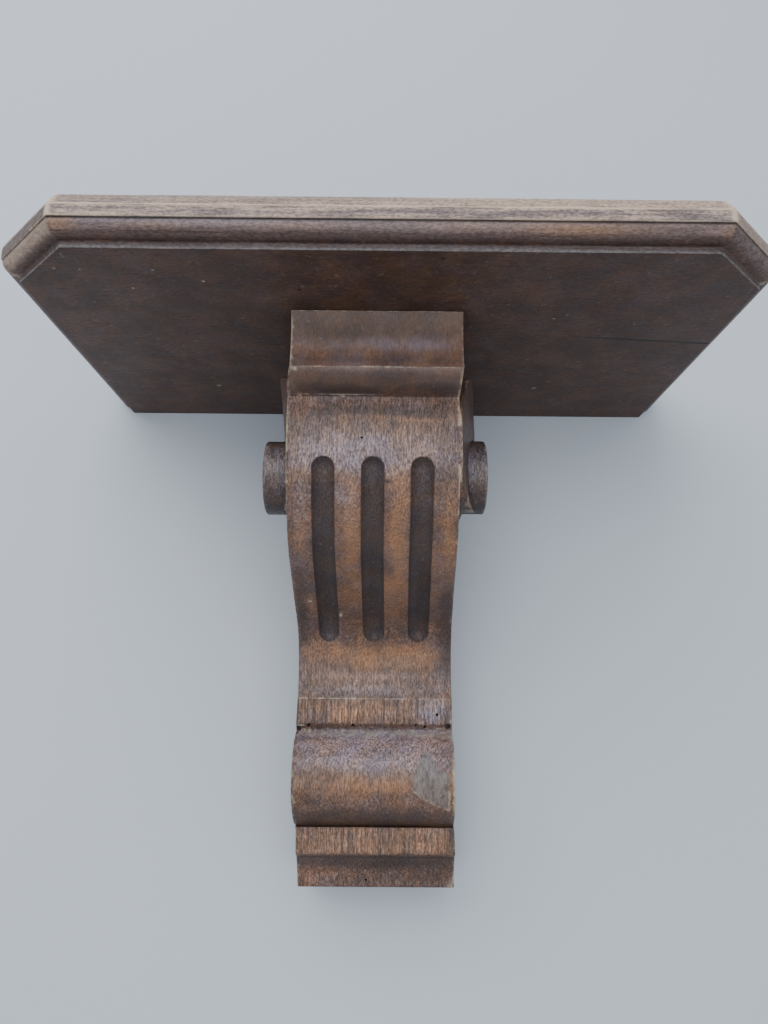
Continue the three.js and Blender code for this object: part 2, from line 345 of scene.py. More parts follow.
def paintShelf(piece):
    # Inset is the distance in from the nearest edge, and a mitre is where two of these distances
    # are equal. Wear lies on the arrises and mitres, with painted light on the left cut's ovolo, and
    # painted shade in the hollows of the section.
    s = shelf
    p = vertexPoints(piece.data) / mm - np.array([s["offset"], 0, s["underside"]])
    half, cutReach, depth = shelfReaches()
    side = np.abs(p[:, 0])
    gaps = np.sort(np.stack([half - side, cutReach - (side - p[:, 1]) / math.sqrt(2), depth + p[:, 1]], 1), 1)
    inset, mitre = gaps[:, 0], gaps[:, 1] - gaps[:, 0]
    flat = np.stack([inset, p[:, 2]], 1)
    low, quirkLevel, bevelFoot, deep = shelfLevels()
    arrises = [(0, quirkLevel), (0, bevelFoot), (s["bevel"][0], bevelFoot + s["bevel"][1]), (deep, 0)]
    frontRun = gaps[:, 0] == depth + p[:, 1]
    cutRun = ~frontRun & (gaps[:, 0] < half - side)
    left, right = p[:, 0] < 0, p[:, 0] >= 0
    onBand = smoothStep(quirkLevel - 0.2, quirkLevel + 0.2, p[:, 2]) * (inset < s["bevel"][0] + 1)
    onOvolo = smoothStep(s["fillet"] + 0.6, low + 2.5, p[:, 2])
    onOvolo *= smoothStep(quirkLevel + 0.1, quirkLevel - 0.5, p[:, 2])
    reach = np.where(p[:, 2] > bevelFoot, s["bevel"][0] + 3, deep + 1.5)  # the flat top stays unworn
    onEdge = (inset < reach) * smoothStep(-3, -9, p[:, 1])
    corner = np.exp(-((mitre / np.where(onBand > 0.5, 1.8, 3.0)) ** 2)) * (p[:, 2] > s["fillet"])
    corner *= np.where(mitre + depth + p[:, 1] < 25, np.where(onBand > 0.5, 0.9, 0.15), 0.3)
    wearAndLight = np.maximum(0.7 * nearness(flat, arrises[:3], 0.7), 0.3 * nearness(flat, arrises[3:], 0.45))
    wearAndLight = np.maximum(wearAndLight, 1.0 * nearness(flat, arrises[1:2], 0.6))
    # Painted light on the left cut's ovolo, laid into the wear mask.
    wearAndLight = np.maximum(wearAndLight, 0.34 * (cutRun & left) * onOvolo)
    paint(piece.data, "wearAndLight", np.maximum(wearAndLight, corner) * onEdge)
    # Painted shade in the quirk over the ovolo and in the cove under it.
    hollows = np.maximum(nearness(flat, [(s["quirk"], quirkLevel - 0.4)], 0.8) * np.where(frontRun, 1, 0.6),
                         0.18 * nearness(flat, [(deep - s["cove"], low)], 0.9) * frontRun)
    paint(piece.data, "dirtAndShade", hollows)
    paint(piece.data, "band", onBand * np.where(cutRun, np.where(left, 0.55, 0.85), 1))
    paint(piece.data, "ovolo", onOvolo)
    paint(piece.data, "calm", (1 - onBand) * np.where(p[:, 2] < s["fillet"] + 0.4, 0.75, 0.6))
    paint(piece.data, "fillet", (inset < deep + 0.5) * (p[:, 2] < s["fillet"] + 0.4))
    x, z = p[:, 0] + s["offset"], p[:, 2]
    rise = np.clip((z - low) / s["ovolo"][1], 0, 1)
    paleAndLit, runs = s["paleAndLit"], {"front": frontRun, "leftCut": cutRun & left, "rightCut": cutRun & right}
    choices = [[paleAndLit[name][i] for name in runs] for i in (0, 1)]
    ofBand, ofOvolo = [np.select(list(runs.values()), choices[i], paleAndLit["sides"][i]) for i in (0, 1)]
    onBevel = smoothStep(bevelFoot, bevelFoot + 1.5, z) * frontRun
    # The bevel is paler towards the right, and grubby blots darken the band.
    ofBand = ofBand + onBevel * (0.45 * smoothStep(-40, 60, x) - 0.2) - blots(x, z, s["grubby"]) * frontRun
    rubbed = blots(x, z, s["rubbed"]) * frontRun
    # Painted light and shade: the front ovolo is paler towards its top, where the light falls, and darker
    # below; rubbed blots add to it.
    ofOvolo = ofOvolo + np.where(frontRun, 0.5 * smoothStep(0.05, 1, rise), 0) + 0.4 * rubbed
    paint(piece.data, "warm", rubbed + 0.35 * (cutRun & left) * (z > s["fillet"] + 0.6))
    # Painted shade on the fillet under the ovolo, paler towards its lower arris.
    ofFillet = 0.2 + 0.75 * smoothStep(s["fillet"] * 0.75, 0, z)
    both = onBand * ofBand + (1 - onBand) * np.where(z > s["fillet"] + 0.4, ofOvolo, ofFillet)
    paint(piece.data, "paleAndLit", both)
    paint(piece.data, "ragged", onBand * smoothStep(3, 0, depth + p[:, 1]))
    # Painted blue of the sky's reflection: over the upper ovolo towards the left and at its foot, and on the
    # band's grubby blots.
    cool = 0.1 + 0.7 * smoothStep(60, -80, x) * smoothStep(0.3, 0.9, rise)
    cool = np.where(z < low + 1, 0.3, cool) * (1 - rubbed) * (1 - onBand) * (inset < deep + 0.3)
    paint(piece.data, "cool", (cool + 0.6 * blots(x, z, s["grubby"]) * onBand) * frontRun)


corbel = {
    "width": 98.4,
    "top": 166.091,
    "gap": 0.3,  # between its top and the board
    "capDepth": 174.3,
    "capHeight": 34.5,
    "capHollow": 3.5,
    "underCapDrop": 12,
    "underCapSwell": 2.6,
    "scrollDepth": 161,
    "scrollLevel": 66,
    "waistDepth": 67.8,
    "waistLevel": 203,
    "roundness": 0.92,
    "upperShare": 2 / 3,
    "neck": 14.6,
    "upperFillet": 15.9,
    "groove": (4.6, 4.2),  # depth and height
    "torusRadius": 30,
    "torusSwell": 16.8,
    "lowerFillet": 16,
    "lowerSetback": 1.2,
    "plinthStep": 5.5,
    "plinthHeight": 21.6,
    "plinthSlope": 8,
    "plinthHollow": 1.6,
    "footArris": 0.8,
    "lightWear": 0.45,
    "heavyWear": 1.6,
    "wornShare": 0.5,
    "waviness": 0.16,
    "arris": (0.6, 1.5),  # least and most rounding of the side arrises
    "arrisReach": 2.3,  # how far in from the sides the front starts to turn
    "levels": (166, 133, 119, 60, 30, -12, -50, -78, -110, -127, -130, -166),  # for the next two
    "lean": (0, 0, -1.9, -1.7, -1.6, -0.3, 0, -0.3, -0.3, 0.2, 1.0, 1.8),  # how far it sits to the right
    "swelling": (0.3, 0.3, 0.6, 0.6, 0.6, 0.4, 0.2, 0.8, 0.8, 0.4, 0.1, 0),  # how much wider each half is
}
flutes = {"middles": (-28, 0, 28), "width": 13.4, "depth": 4.6, "margin": 36.3, "lip": 0.25,
          "drift": (-1.6, -0.7, -0.2)}  # how far each has strayed to the right by its lower end
boardLevel = corbel["top"] + corbel["gap"]
wormHoles = (  # across, level, radius and depth of each
    (39.9, -60.9, 1.0, 4), (-41.7, -67.8, 1.1, 5), (-13.6, -67.6, 1.0, 5), (26.5, -67.2, 0.7, 4),
    (32.2, -68.4, 0.9, 5), (46.8, -68.0, 1.8, 5), (-48.2, -70.0, 1.6, 4), (-8.4, 94.3, 0.7, 2.5),
    (-4.4, -161.9, 0.8, 3),
)


def scrollCurve(distance):
    # Depth and level of the scroll's front: a full arc, the straight slope that touches both arcs,
    # and a hollow arc. On an arc the angle falls by distance over radius. Also its whole length.
    c = corbel
    reach, fall = c["scrollDepth"] - c["waistDepth"], c["waistLevel"] - c["scrollLevel"]
    radii = c["roundness"] * (reach**2 + fall**2) / (2 * reach)
    upper = radii * c["upperShare"]
    lower = radii - upper
    upperMiddle = np.array([c["scrollDepth"] - upper, -c["scrollLevel"]])
    lowerMiddle = np.array([c["waistDepth"] + lower, -c["waistLevel"]])
    between = lowerMiddle - upperMiddle
    slope = math.sqrt(between @ between - radii**2)
    slopeAngle = math.atan2(-between[1], between[0]) - math.acos(radii / np.hypot(*between))
    topAngle = math.asin((c["scrollLevel"] - c["capHeight"] - c["underCapDrop"]) / upper)
    neckAngle = math.asin(c["neck"] / lower)
    upperLength = upper * (topAngle + slopeAngle)
    length = upperLength + slope + lower * (slopeAngle + neckAngle)
    distance = np.asarray(distance, float)
    angle = topAngle - distance / upper
    onUpper = upperMiddle + upper * np.stack([np.cos(angle), np.sin(angle)], -1)
    past = distance - upperLength - slope
    angle = slopeAngle - np.maximum(0, past) / lower
    onLower = lowerMiddle - lower * np.stack([np.cos(angle), -np.sin(angle)], -1)
    downSlope = np.array([-math.sin(slopeAngle), -math.cos(slopeAngle)])
    onLower = onLower + np.minimum(0, past)[..., None] * downSlope
    return np.where((distance <= upperLength)[..., None], onUpper, onLower), length


def corbelOutline():
    # Depth and level of the front, from the shelf down to the foot. Also the distance along the
    # scroll at each point, which is far out of its range elsewhere, the scroll's length and the
    # level of the bottom.
    c = corbel
    length = scrollCurve(0)[1]
    margin, end = flutes["margin"], flutes["margin"] + flutes["width"] / 2
    stops = (0, margin - 1, end + 1, length - end - 1, length - margin + 1, length)
    runs = [np.linspace(a, b, math.ceil((b - a) / step), endpoint=False)
            for a, b, step in zip(stops[:-1], stops[1:], (1.05, 0.5, 1.15, 0.5, 1.05))]
    distance = np.concatenate(runs + [[length]])
    scroll = scrollCurve(distance)[0]
    cap = bowed((c["capDepth"], -c["gap"]), (c["capDepth"], -c["capHeight"]), -c["capHollow"], 36)
    under = bowed(cap[-1], scroll[0], c["underCapSwell"], 26)
    neck = scroll[-1]
    level = neck[1] - c["upperFillet"]
    inner = (neck[0] - c["groove"][0], level - c["groove"][1])
    fillet = divided([neck, (neck[0], level), inner], 0.75)
    radius = c["torusRadius"]
    middle = neck[0] + c["torusSwell"] - radius
    start = math.acos((inner[0] - middle) / radius)
    torus = arcPoints((middle, inner[1] - radius * math.sin(start)), (radius, radius), start, -start, 64)
    depth = neck[0] - c["lowerSetback"]
    level, foot = torus[-1][1], torus[-1][1] - c["lowerFillet"]
    step = (depth - c["plinthStep"], foot - c["plinthStep"] / 2)
    lower = divided([torus[-1], (depth, level), (depth, foot), step], 0.75)
    bottom = foot - c["plinthHeight"]
    arris = c["footArris"]
    plinth = bowed(lower[-1], (step[0] - c["plinthSlope"], bottom + arris), -c["plinthHollow"], 20)
    edge = arcPoints((plinth[-1][0] - arris, bottom + arris), (arris, arris), 0, -math.pi / 2 + 0.12, 5)
    line = np.vstack([part[:-1] for part in (cap, under, scroll, fillet, torus, lower, plinth)] + [edge])
    before = len(cap) + len(under) - 2
    along = np.full(len(line), length + 100)
    along[:before] = -100
    along[before : before + len(distance)] = distance
    return line, along, length, bottom


def settled(x, level):
    # Where x of the true corbel lies in the old, slightly twisted one: x * (1 + swelling / half) + lean,
    # both read off at the level.
    c = corbel
    levels = np.array(c["levels"][::-1], float)
    lean, swelling = [np.interp(level, levels, c[name][::-1]) for name in ("lean", "swelling")]
    return x * (1 + swelling / (c["width"] / 2)) + lean


def fluteHollow(x, along, length):
    # Depth of the flutes at x and at a distance along the scroll. Each is the hollow that a ball of
    # radius R = (w^2/4 + d^2)/2d leaves as it runs down: h = sqrt(R^2 - r^2) - (R - d), where r is
    # the distance to the run. Over the lip it fades as (h + sqrt(h^2 + lip^2))/2.
    f = flutes
    width, depth = f["width"], f["depth"]
    radius = (width**2 / 4 + depth**2) / (2 * depth)
    end = f["margin"] + width / 2
    past = np.maximum(0, np.maximum(end - along, along - (length - end)))
    deepest = np.zeros(len(along))
    for middle in f["middles"]:
        r = np.hypot(x - middle, past)
        h = np.sqrt(radius**2 - np.minimum(r, width / 2) ** 2) - (radius - depth)
        h = h - np.maximum(0, r - width / 2) * 2.8
        deepest = np.maximum(deepest, np.where(h > -6, (h + np.sqrt(h**2 + f["lip"] ** 2)) / 2, 0))
    return deepest


def buildCorbel():
    # A tube of level rings. Row by row it follows the front outline. Round a ring it crosses the
    # front, turns over the right arris, runs back to the wall, crosses it and comes forward again.
    # A point of the front is outline - hollow * normal.
    c = corbel
    half = c["width"] / 2
    line, along, length, bottom = corbelOutline()
    rows = len(line)
    light, heavy = softened(line, c["lightWear"]), softened(line, c["heavyWear"])

    def inwardsOf(curve):
        forward = np.gradient(curve, axis=0)
        inwards = np.stack([forward[:, 1], -forward[:, 0]], 1)
        return inwards / np.linalg.norm(inwards, axis=1, keepdims=True)

    inwards, sideInwards = inwardsOf(softened(line, 1.2)), inwardsOf(softened(line, 3.5))
    rank = 0.03 * np.arange(rows)
    wall = np.minimum.accumulate(light[:, 1] + rank) - rank
    wall = np.maximum(wall, bottom + rank[::-1])
    place = np.stack([np.zeros(rows), -light[:, 0], light[:, 1]], 1)

    def frontColumn(x):
        spot = place + np.array([x, 0, 0])
        worn = np.clip(0.25 + 0.8 * roughNoise(spot, 16, 3), 0, 1) * c["wornShare"]
        carved = roughNoise(spot, 24, 7) + 0.6 * roughNoise(spot * np.array([1, 1, 0.25]), 5, 8)
        hollow = fluteHollow(x, along, length) + np.maximum(c["waviness"] * (1 + carved), 0)
        ragged = latticeNoise(spot, 2.5, 71)
        hollow += flake["depth"] * bareOf(x + ragged, spot[:, 2] + boardLevel, 0.6)
        return light + (heavy - light) * worn[:, None] + inwards * hollow[:, None]

    beside = np.array([3.6, 4.6, 5.3, 5.8, 6.2, 6.5, 6.8, 7.2, 7.8])
    offsets = np.concatenate([-beside[::-1], [-2.4, -1.2, 0, 1.2, 2.4], beside])
    fine = np.concatenate([middle + offsets for middle in flutes["middles"]])
    coarse = np.arange(-half + 3.4, half - 3, 1.25)
    coarse = coarse[np.abs(coarse[:, None] - fine[None, :]).min(1) > 0.75]
    last = half - c["arrisReach"]
    across = np.sort(np.concatenate([fine, coarse, [-last, last]]))
    front = []
    for x in across:
        p = frontColumn(x)
        front.append(np.stack([np.full(rows, x), -p[:, 0], p[:, 1]], 1))
    sides = []
    for side in (1, -1):
        least, most = c["arris"]
        worn = np.clip(0.4 + latticeNoise(place + np.array([side * 60, 0, 0]), 26, 31), 0, 1)
        radius = np.where(np.abs(along - length / 2) < length / 2, least + (most - least) * worn, least)
        p = frontColumn(side * last)
        columns = []
        for angle in np.radians(np.linspace(0, 90, 6)[1:]):
            q = p + sideInwards * (radius * (1 - math.cos(angle)))[:, None]
            columns.append(np.stack([side * (half - radius * (1 - math.sin(angle))), -q[:, 0], q[:, 1]], 1))
        for share in (0.04, 0.1, 0.2, 0.35, 0.52, 0.7, 0.86, 1):
            level = q[:, 1] + (wall - q[:, 1]) * smoothStep(0, 0.8, share)
            columns.append(np.stack([np.full(rows, side * half), -q[:, 0] * (1 - share), level], 1))
        sides.append(columns)
    back = [np.stack([np.full(rows, x), np.zeros(rows), wall], 1) for x in np.linspace(half, -half, 6)[1:-1]]
    grid = np.stack(front + sides[0] + back + sides[1][::-1], 1)
    grid[0, :, 2], grid[-1, :, 2] = -c["gap"], bottom
    grid[..., 1] = np.minimum(grid[..., 1], 0)
    grid[..., 2] = np.clip(grid[..., 2], bottom, -c["gap"]) + boardLevel
    strays = np.interp(grid[..., 0], (-half, *flutes["middles"], half), (0, *flutes["drift"], 0))
    strays = strays * smoothStep(0, length, along)[:, None] * (along < length)[:, None]
    grid[..., 0] = settled(grid[..., 0] + strays, light[:, 1, None] + boardLevel)
    piece = newPiece("corbelBody", grid.reshape(-1, 3), tubeFaces(*grid.shape[:2]))
    print("corbel body:", len(piece.data.vertices), "vertices")
    return piece


cheeks = {
    "spread": {-1: (12.3, 7.6), 1: (10.8, 11.8)},  # at the top and beside the boss, for either side
    "topLevel": 20,
    "footLevel": 92,
    "footHollow": 7,
    "arris": 1.3,
    "sunk": 4,  # how deep they are set in the corbel before both are joined
}
boss = {
    "radius": 22.5,
    "thickness": {-1: 14.9, 1: 17.4},
    "rim": 1.3,
    "dome": 0.5,
    "setback": 39,
    "drop": 20,
    "lift": {-1: 0, 1: 1.3},  # how much higher each sits than it should
    "gap": 0.3,
    "clearance": 30,  # how far out the cheeks are cut away round it
    "waviness": 0.25,
}


def bossMiddle():
    return np.array([corbel["scrollDepth"] - boss["setback"], -(corbel["scrollLevel"] + boss["drop"])])


def bossFoot(side):
    # Where a boss starts on the side of the corbel: across, depth and level of its middle.
    depth, level = bossMiddle()
    level = level + boardLevel + boss["lift"][side]
    return float(settled(side * corbel["width"] / 2, level)), depth, level


def cheekSpiral():
    # The spiral r = front * exp(growth * angle) round the boss, from the scroll's front up to the
    # cheek's top.
    middle = bossMiddle()
    front = scrollCurve(np.linspace(0, scrollCurve(0)[1], 2000))[0]
    frontRadius = np.interp(-middle[1], -front[:, 1], front[:, 0]) - middle[0]
    growth = math.log((-middle[1] - cheeks["topLevel"]) / frontRadius) / (math.pi / 2)
    return frontRadius, growth


def cheekOutline():
    # Depth and level of a cheek's outer boundary, which comes forward along the top and then winds
    # down the spiral, and of the boundary that faces it point by point, which comes forward along
    # the hollow foot and then turns in to the middle of the boss.
    k, middle = cheeks, bossMiddle()
    frontRadius, growth = cheekSpiral()
    inner = math.log(0.8 * boss["radius"] / frontRadius) / growth
    angle = np.linspace(math.pi / 2, inner, 90)
    radius = frontRadius * np.exp(growth * angle)
    spiral = middle + np.stack([radius * np.cos(angle), radius * np.sin(angle)], 1)
    ahead = np.linspace(0, middle[0], 36)[:-1]
    outer = np.vstack([np.stack([ahead, np.full(len(ahead), -k["topLevel"])], 1), spiral])
    foot = bowed((0, -k["footLevel"]), spiral[-1], k["footHollow"], 36)
    turnIn = spiral[-1] + (middle - spiral[-1]) * np.linspace(0, 1, 30)[1:, None]
    rest = np.repeat(middle[None], len(outer) - len(foot) - len(turnIn), 0)
    return outer, np.vstack([foot, turnIn, rest])


def buildCheek(side):
    # A tube of cross rings along the cheek. A ring starts inside the corbel, comes out over a
    # rounded arris to the outer face, crosses to the facing boundary and goes in again. The outer
    # face stands out by spread, which changes evenly from the top down to the boss, and by less in
    # proportion to the way ahead of the boss.
    c, k = corbel, cheeks
    half = c["width"] / 2
    outer, inner = cheekOutline()

    def reach(p):
        ahead = c["scrollDepth"] - 1
        down = np.clip((-k["topLevel"] - p[:, 1]) / (-k["topLevel"] - bossMiddle()[1] - boss["radius"]), 0, 1)
        spread = k["spread"][side][0] + (k["spread"][side][1] - k["spread"][side][0]) * down
        return half + spread * np.clip((ahead - p[:, 0]) / (ahead - bossMiddle()[0]), 0, 1)

    away = inner - outer
    span = np.linalg.norm(away, axis=1)
    away = away / np.maximum(span, 1e-6)[:, None]
    radius = np.minimum(np.minimum(k["arris"], (reach(outer) - half) * 0.6 + 0.02), span * 0.3)
    inside = half - k["sunk"]
    ring = [np.column_stack([outer, np.full(len(outer), inside)])]
    for angle in np.radians(np.linspace(0, 90, 6)):
        p = outer + away * (radius * (1 - math.cos(angle)))[:, None]
        ring.append(np.column_stack([p, reach(p) - radius * (1 - math.sin(angle))]))
    for share in (0.06, 0.15, 0.3, 0.5, 0.75):
        p = p + (inner - p) * share
        ring.append(np.column_stack([p, reach(p)]))
    for angle in np.radians(np.linspace(90, 0, 5)):
        q = inner - away * (radius * (1 - math.cos(angle)) * 0.5)[:, None]
        ring.append(np.column_stack([q, reach(q) - 0.5 * radius * (1 - math.sin(angle))]))
    ring.append(np.column_stack([inner, np.full(len(inner), inside)]))
    grid = np.stack(ring, 1)
    grid = np.stack([side * grid[..., 2], -grid[..., 0], grid[..., 1] + boardLevel], -1)
    return newPiece("cheek", grid.reshape(-1, 3), tubeFaces(*grid.shape[:2]))


def roundBar(radius, start, end, count):
    # A closed cylinder between two points: rings start or end + radius (u cos a + v sin a).
    start, end = np.array(start, float), np.array(end, float)
    axis = (end - start) / np.linalg.norm(end - start)
    u = np.cross(axis, [0.3, 0.2, 0.9])
    u /= np.linalg.norm(u)
    angle = np.linspace(0, 2 * math.pi, count, endpoint=False)[:, None]
    ring = radius * (np.cos(angle) * u + np.sin(angle) * np.cross(axis, u))
    return newPiece("bar", np.vstack([start + ring, end + ring]), tubeFaces(2, count))


def buildBoss(side):
    # A turned profile of radius and height, carried round its axis: middle + radius (cos a, sin a),
    # less a slight unevenness.
    b = boss
    foot, depth, level = bossFoot(side)
    thickness = b["thickness"][side]
    rim = arcPoints((b["radius"] - b["rim"], thickness - b["rim"]), (b["rim"], b["rim"]), 0, math.pi / 2, 7)
    t = np.linspace(0, 1, 12)[1:-1, None]
    top = np.array([0, thickness + b["dome"]])
    dome = pulled(rim[-1], np.array([rim[-1][0] / 2, top[1]]), top, t)
    profile = divided(np.vstack([[(b["radius"] - 0.6, 0), (b["radius"], 0.6)], rim, dome]), 1.3)
    angle = np.linspace(0, 2 * math.pi, 96, endpoint=False)
    radius, height = np.broadcast_arrays(profile[:, 0, None], profile[:, 1, None] + 0 * angle)
    ring = np.stack([side * height, radius * np.cos(angle), radius * np.sin(angle)], -1)
    uneven = b["waviness"] * np.clip(roughNoise(ring, 12, 40 + side) + 0.3, 0, 1)
    radius = radius - uneven * smoothStep(4, 12, radius)
    x = foot + side * (b["gap"] + height)
    y = -depth - radius * np.sin(angle) * side
    z = level + radius * np.cos(angle)
    grid = np.stack([x, y, z], -1).reshape(-1, 3)
    piece = newPiece("bossLeft" if side < 0 else "bossRight", grid, tubeFaces(*x.shape))
    p = vertexPoints(piece.data) / mm
    out = np.abs(p[:, 0] - foot)
    y, z = p[:, 1] + depth, p[:, 2] - level
    edge = np.exp(-((np.hypot(y, z) - b["radius"] + 0.5) ** 2))
    paint(piece.data, "wearAndLight", edge * smoothStep(thickness - 3, thickness - 1, out) * 0.35)
    # Painted shade next to the corbel's side.
    paint(piece.data, "dirtAndShade", smoothStep(5, 1, out) * 0.4)
    paint(piece.data, "warm", blots(y, z, [(0, -12, 30, 7, 0.6)]))
    # Painted sheen across the middle of the round side.
    paint(piece.data, "bloom", blots(y, z, [(0, 3, 40, 15, 1.0)]))
    # Painted blue of the sky's reflection, all over.
    paint(piece.data, "cool", np.full(len(p), 0.4))
    # Darker towards the top and bottom of the round side, and the right boss darker all over as painted
    # shade.
    paint(piece.data, "dark", np.maximum(smoothStep(15, 21, np.abs(z)) * 0.8, 0.45 * (side > 0)))
    return piece


patinaAndLight = {  # across, level, half width, half height and strength of each coloured place
    "warm": ((14, 44, 6, 34, 1.0), (43, 42, 6, 22, 0.7), (-42, 37, 6, 14, 0.5), (0, -25, 60, 9, 0.85),
             (-14, 46, 6, 34, 0.8), (-5, -102, 50, 7, 0.7), (0, -137, 80, 13, 0.75), (26, -22, 3, 3, 1.0),
             (0, 160, 60, 7, 0.5), (0, 127, 60, 3, 0.5), (20, 106, 30, 2.5, 0.6), (5, 12, 36, 18, 0.6),
             (-12, -58, 34, 9, 0.85), (0, -37, 60, 4, 0.4), (-12, -77, 26, 3, 0.4)),
    # painted sheen, the varnish's reflection of the sky: on the scroll's top, the neck, the groove, the torus
    # and the cap
    "bloom": ((-8, 86, 60, 14, 0.95), (0, -37, 60, 4, 0.5), (0, -45, 60, 6, 0.5), (-12, -59, 60, 9, 0.3),
              (37, -58, 12, 9, 0.8), (0, -73, 80, 4, 1.0), (0, -79, 70, 7, 1.0), (0, -88, 70, 8, 0.8),
              (0, 148, 60, 6, 0.6), (-20, 62, 30, 12, 0.4), (-42, 60, 7, 30, 0.4), (0, -160, 60, 4, 0.15)),
    # mostly painted shade: under the cap and the shelf, under the torus, on the plinth's top, on the scroll's
    # lower slope and beside its waist; a few are dark patches of the finish
    "dark": ((-20, 123, 34, 3.5, 1.0), (30, 123, 34, 3, 0.8), (0, 127, 60, 5, 0.85), (10, 111, 60, 5, 0.7),
             (-47, 4, 6, 26, 0.8), (46, -4, 9, 26, 1.0), (-30, 110, 12, 5, 0.8), (0, 129.5, 60, 2, 0.5),
             (0, -150, 70, 7, 0.9), (0, -122, 70, 8, 0.95), (0, 137, 70, 5, 0.5), (0, -13, 50, 5, 0.35),
             (46, -28, 7, 12, 0.8), (-48, 60, 2.5, 50, 0.4), (30, -160, 30, 5, 0.4), (-40, -112, 12, 6, 0.6),
             (0, -136, 70, 8, 0.45), (0, -107, 60, 6, 0.3), (0, 157, 90, 14, 0.6), (0, -125.5, 80, 4, 0.9),
             (-34, -25, 9, 16, 0.45), (0, -2, 70, 22, 0.45),
             (-10, -149, 44, 6, 0.35), (0, -161, 70, 6, 0.3)),
    # painted blue of the sky's reflection on the varnish, over the groove, the torus, the cap, the scroll and
    # its edges
    "cool": ((0, -72, 80, 4.5, 1.0), (0, -84, 60, 8, 0.5), (30, -86, 22, 12, 0.6), (0, -46, 60, 5, 0.5),
             (38, -59, 13, 10, 0.9), (46, -25, 7, 18, 0.9), (-46, -20, 6, 20, 0.7), (-30, 118, 26, 5, 0.9),
             (10, 112, 50, 4, 0.5), (0, 147, 60, 7, 0.6), (0, 136, 60, 5, 1.0), (-34, 98, 26, 12, 0.4),
             (0, -162, 70, 6, 0.5), (-45, 20, 7, 24, 0.6), (42, 78, 8, 20, 0.5), (0, 80, 30, 4, 0.3)),
    "bare": ((-40.8, 8, 1.5, 0.7, 0.7), (-21.8, 0.4, 1.2, 1.2, 0.8), (49, -165, 2, 3, 0.6),
             (-39.2, 160.3, 0.8, 0.8, 1), (-44.9, 120, 0.9, 0.7, 1), (-19.5, 120, 0.8, 0.6, 1),
             (-47, 131, 2, 1.5, 0.7), (41.2, -60.9, 0.7, 1.2, 0.6), (-46, -68, 3, 0.7, 0.8),
             (42, -69.5, 3, 1, 0.5), (-49, -112, 2, 5, 0.35), (47, -140, 1.5, 6, 0.3)),
    "grime": ((6.4, 70, 1.8, 1.2, 1.4), (-12, 94, 0.9, 2.2, 0.6)),
    "calm": ((0, 28, 70, 42, 0.7), (0, -24, 60, 12, 0.6), (0, -104, 60, 16, 0.35)),
    # painted light along the groove over the torus, laid into the wear mask
    "grooveLight": ((0, -72.5, 90, 3.2, 1.0),),
    "topLine": ((-22, 120, 34, 3, 1.0), (40, 120, 8, 3, 0.3)),
    "rightEdge": ((49, 90, 20, 34, 1.0), (49, 150, 20, 16, 0.2), (49, -100, 20, 20, 0.6),
                  (49, -160, 20, 8, 0.5)),
    "leftEdge": ((-49, 96, 20, 26, 0.5), (-49, 150, 20, 16, 0.55), (-49, -100, 20, 20, 0.2),
                 (-49, -137, 20, 8, 0.3)),
    "capArris": ((174.3, 131.9),),  # depth and level of this and the next three
    "capFoot": ((160.7, 120),),
    "neckArris": ((70.2, -51.4),),
    # painted shade in the creases under the torus and at the plinth's step
    "hollows": ((65.6, -127.9), (63.5, -146.7)),
}
flake = {  # a patch on the torus where the finish has come off, its corners across and level
    "corners": ((30.5, -81.1), (45.5, -94.9), (45.6, -116.9), (38.4, -114.1), (27.7, -108.5),
                (23.4, -104.4), (23.2, -99), (24.9, -93), (27.8, -87.1)),
    "dent": ((34.0, -80), (50, -80), (47, -95.5), (38.5, -92.5)),
    "depth": 0.35,
}


def insideOf(x, z, corners, softness):
    # 1 inside a convex outline that runs clockwise, fading to 0 over the softness: the smallest of
    # the distances to its sides.
    corners = np.array(corners, float)
    depths = []
    for a, b in zip(corners, np.roll(corners, -1, axis=0)):
        along = (b - a) / np.hypot(*(b - a))
        depths.append((x - a[0]) * along[1] - (z - a[1]) * along[0])
    return smoothStep(-softness, softness, np.min(depths, axis=0))


def bareOf(x, z, softness):
    return insideOf(x, z, flake["corners"], softness) * (1 - insideOf(x, z, flake["dent"], softness))


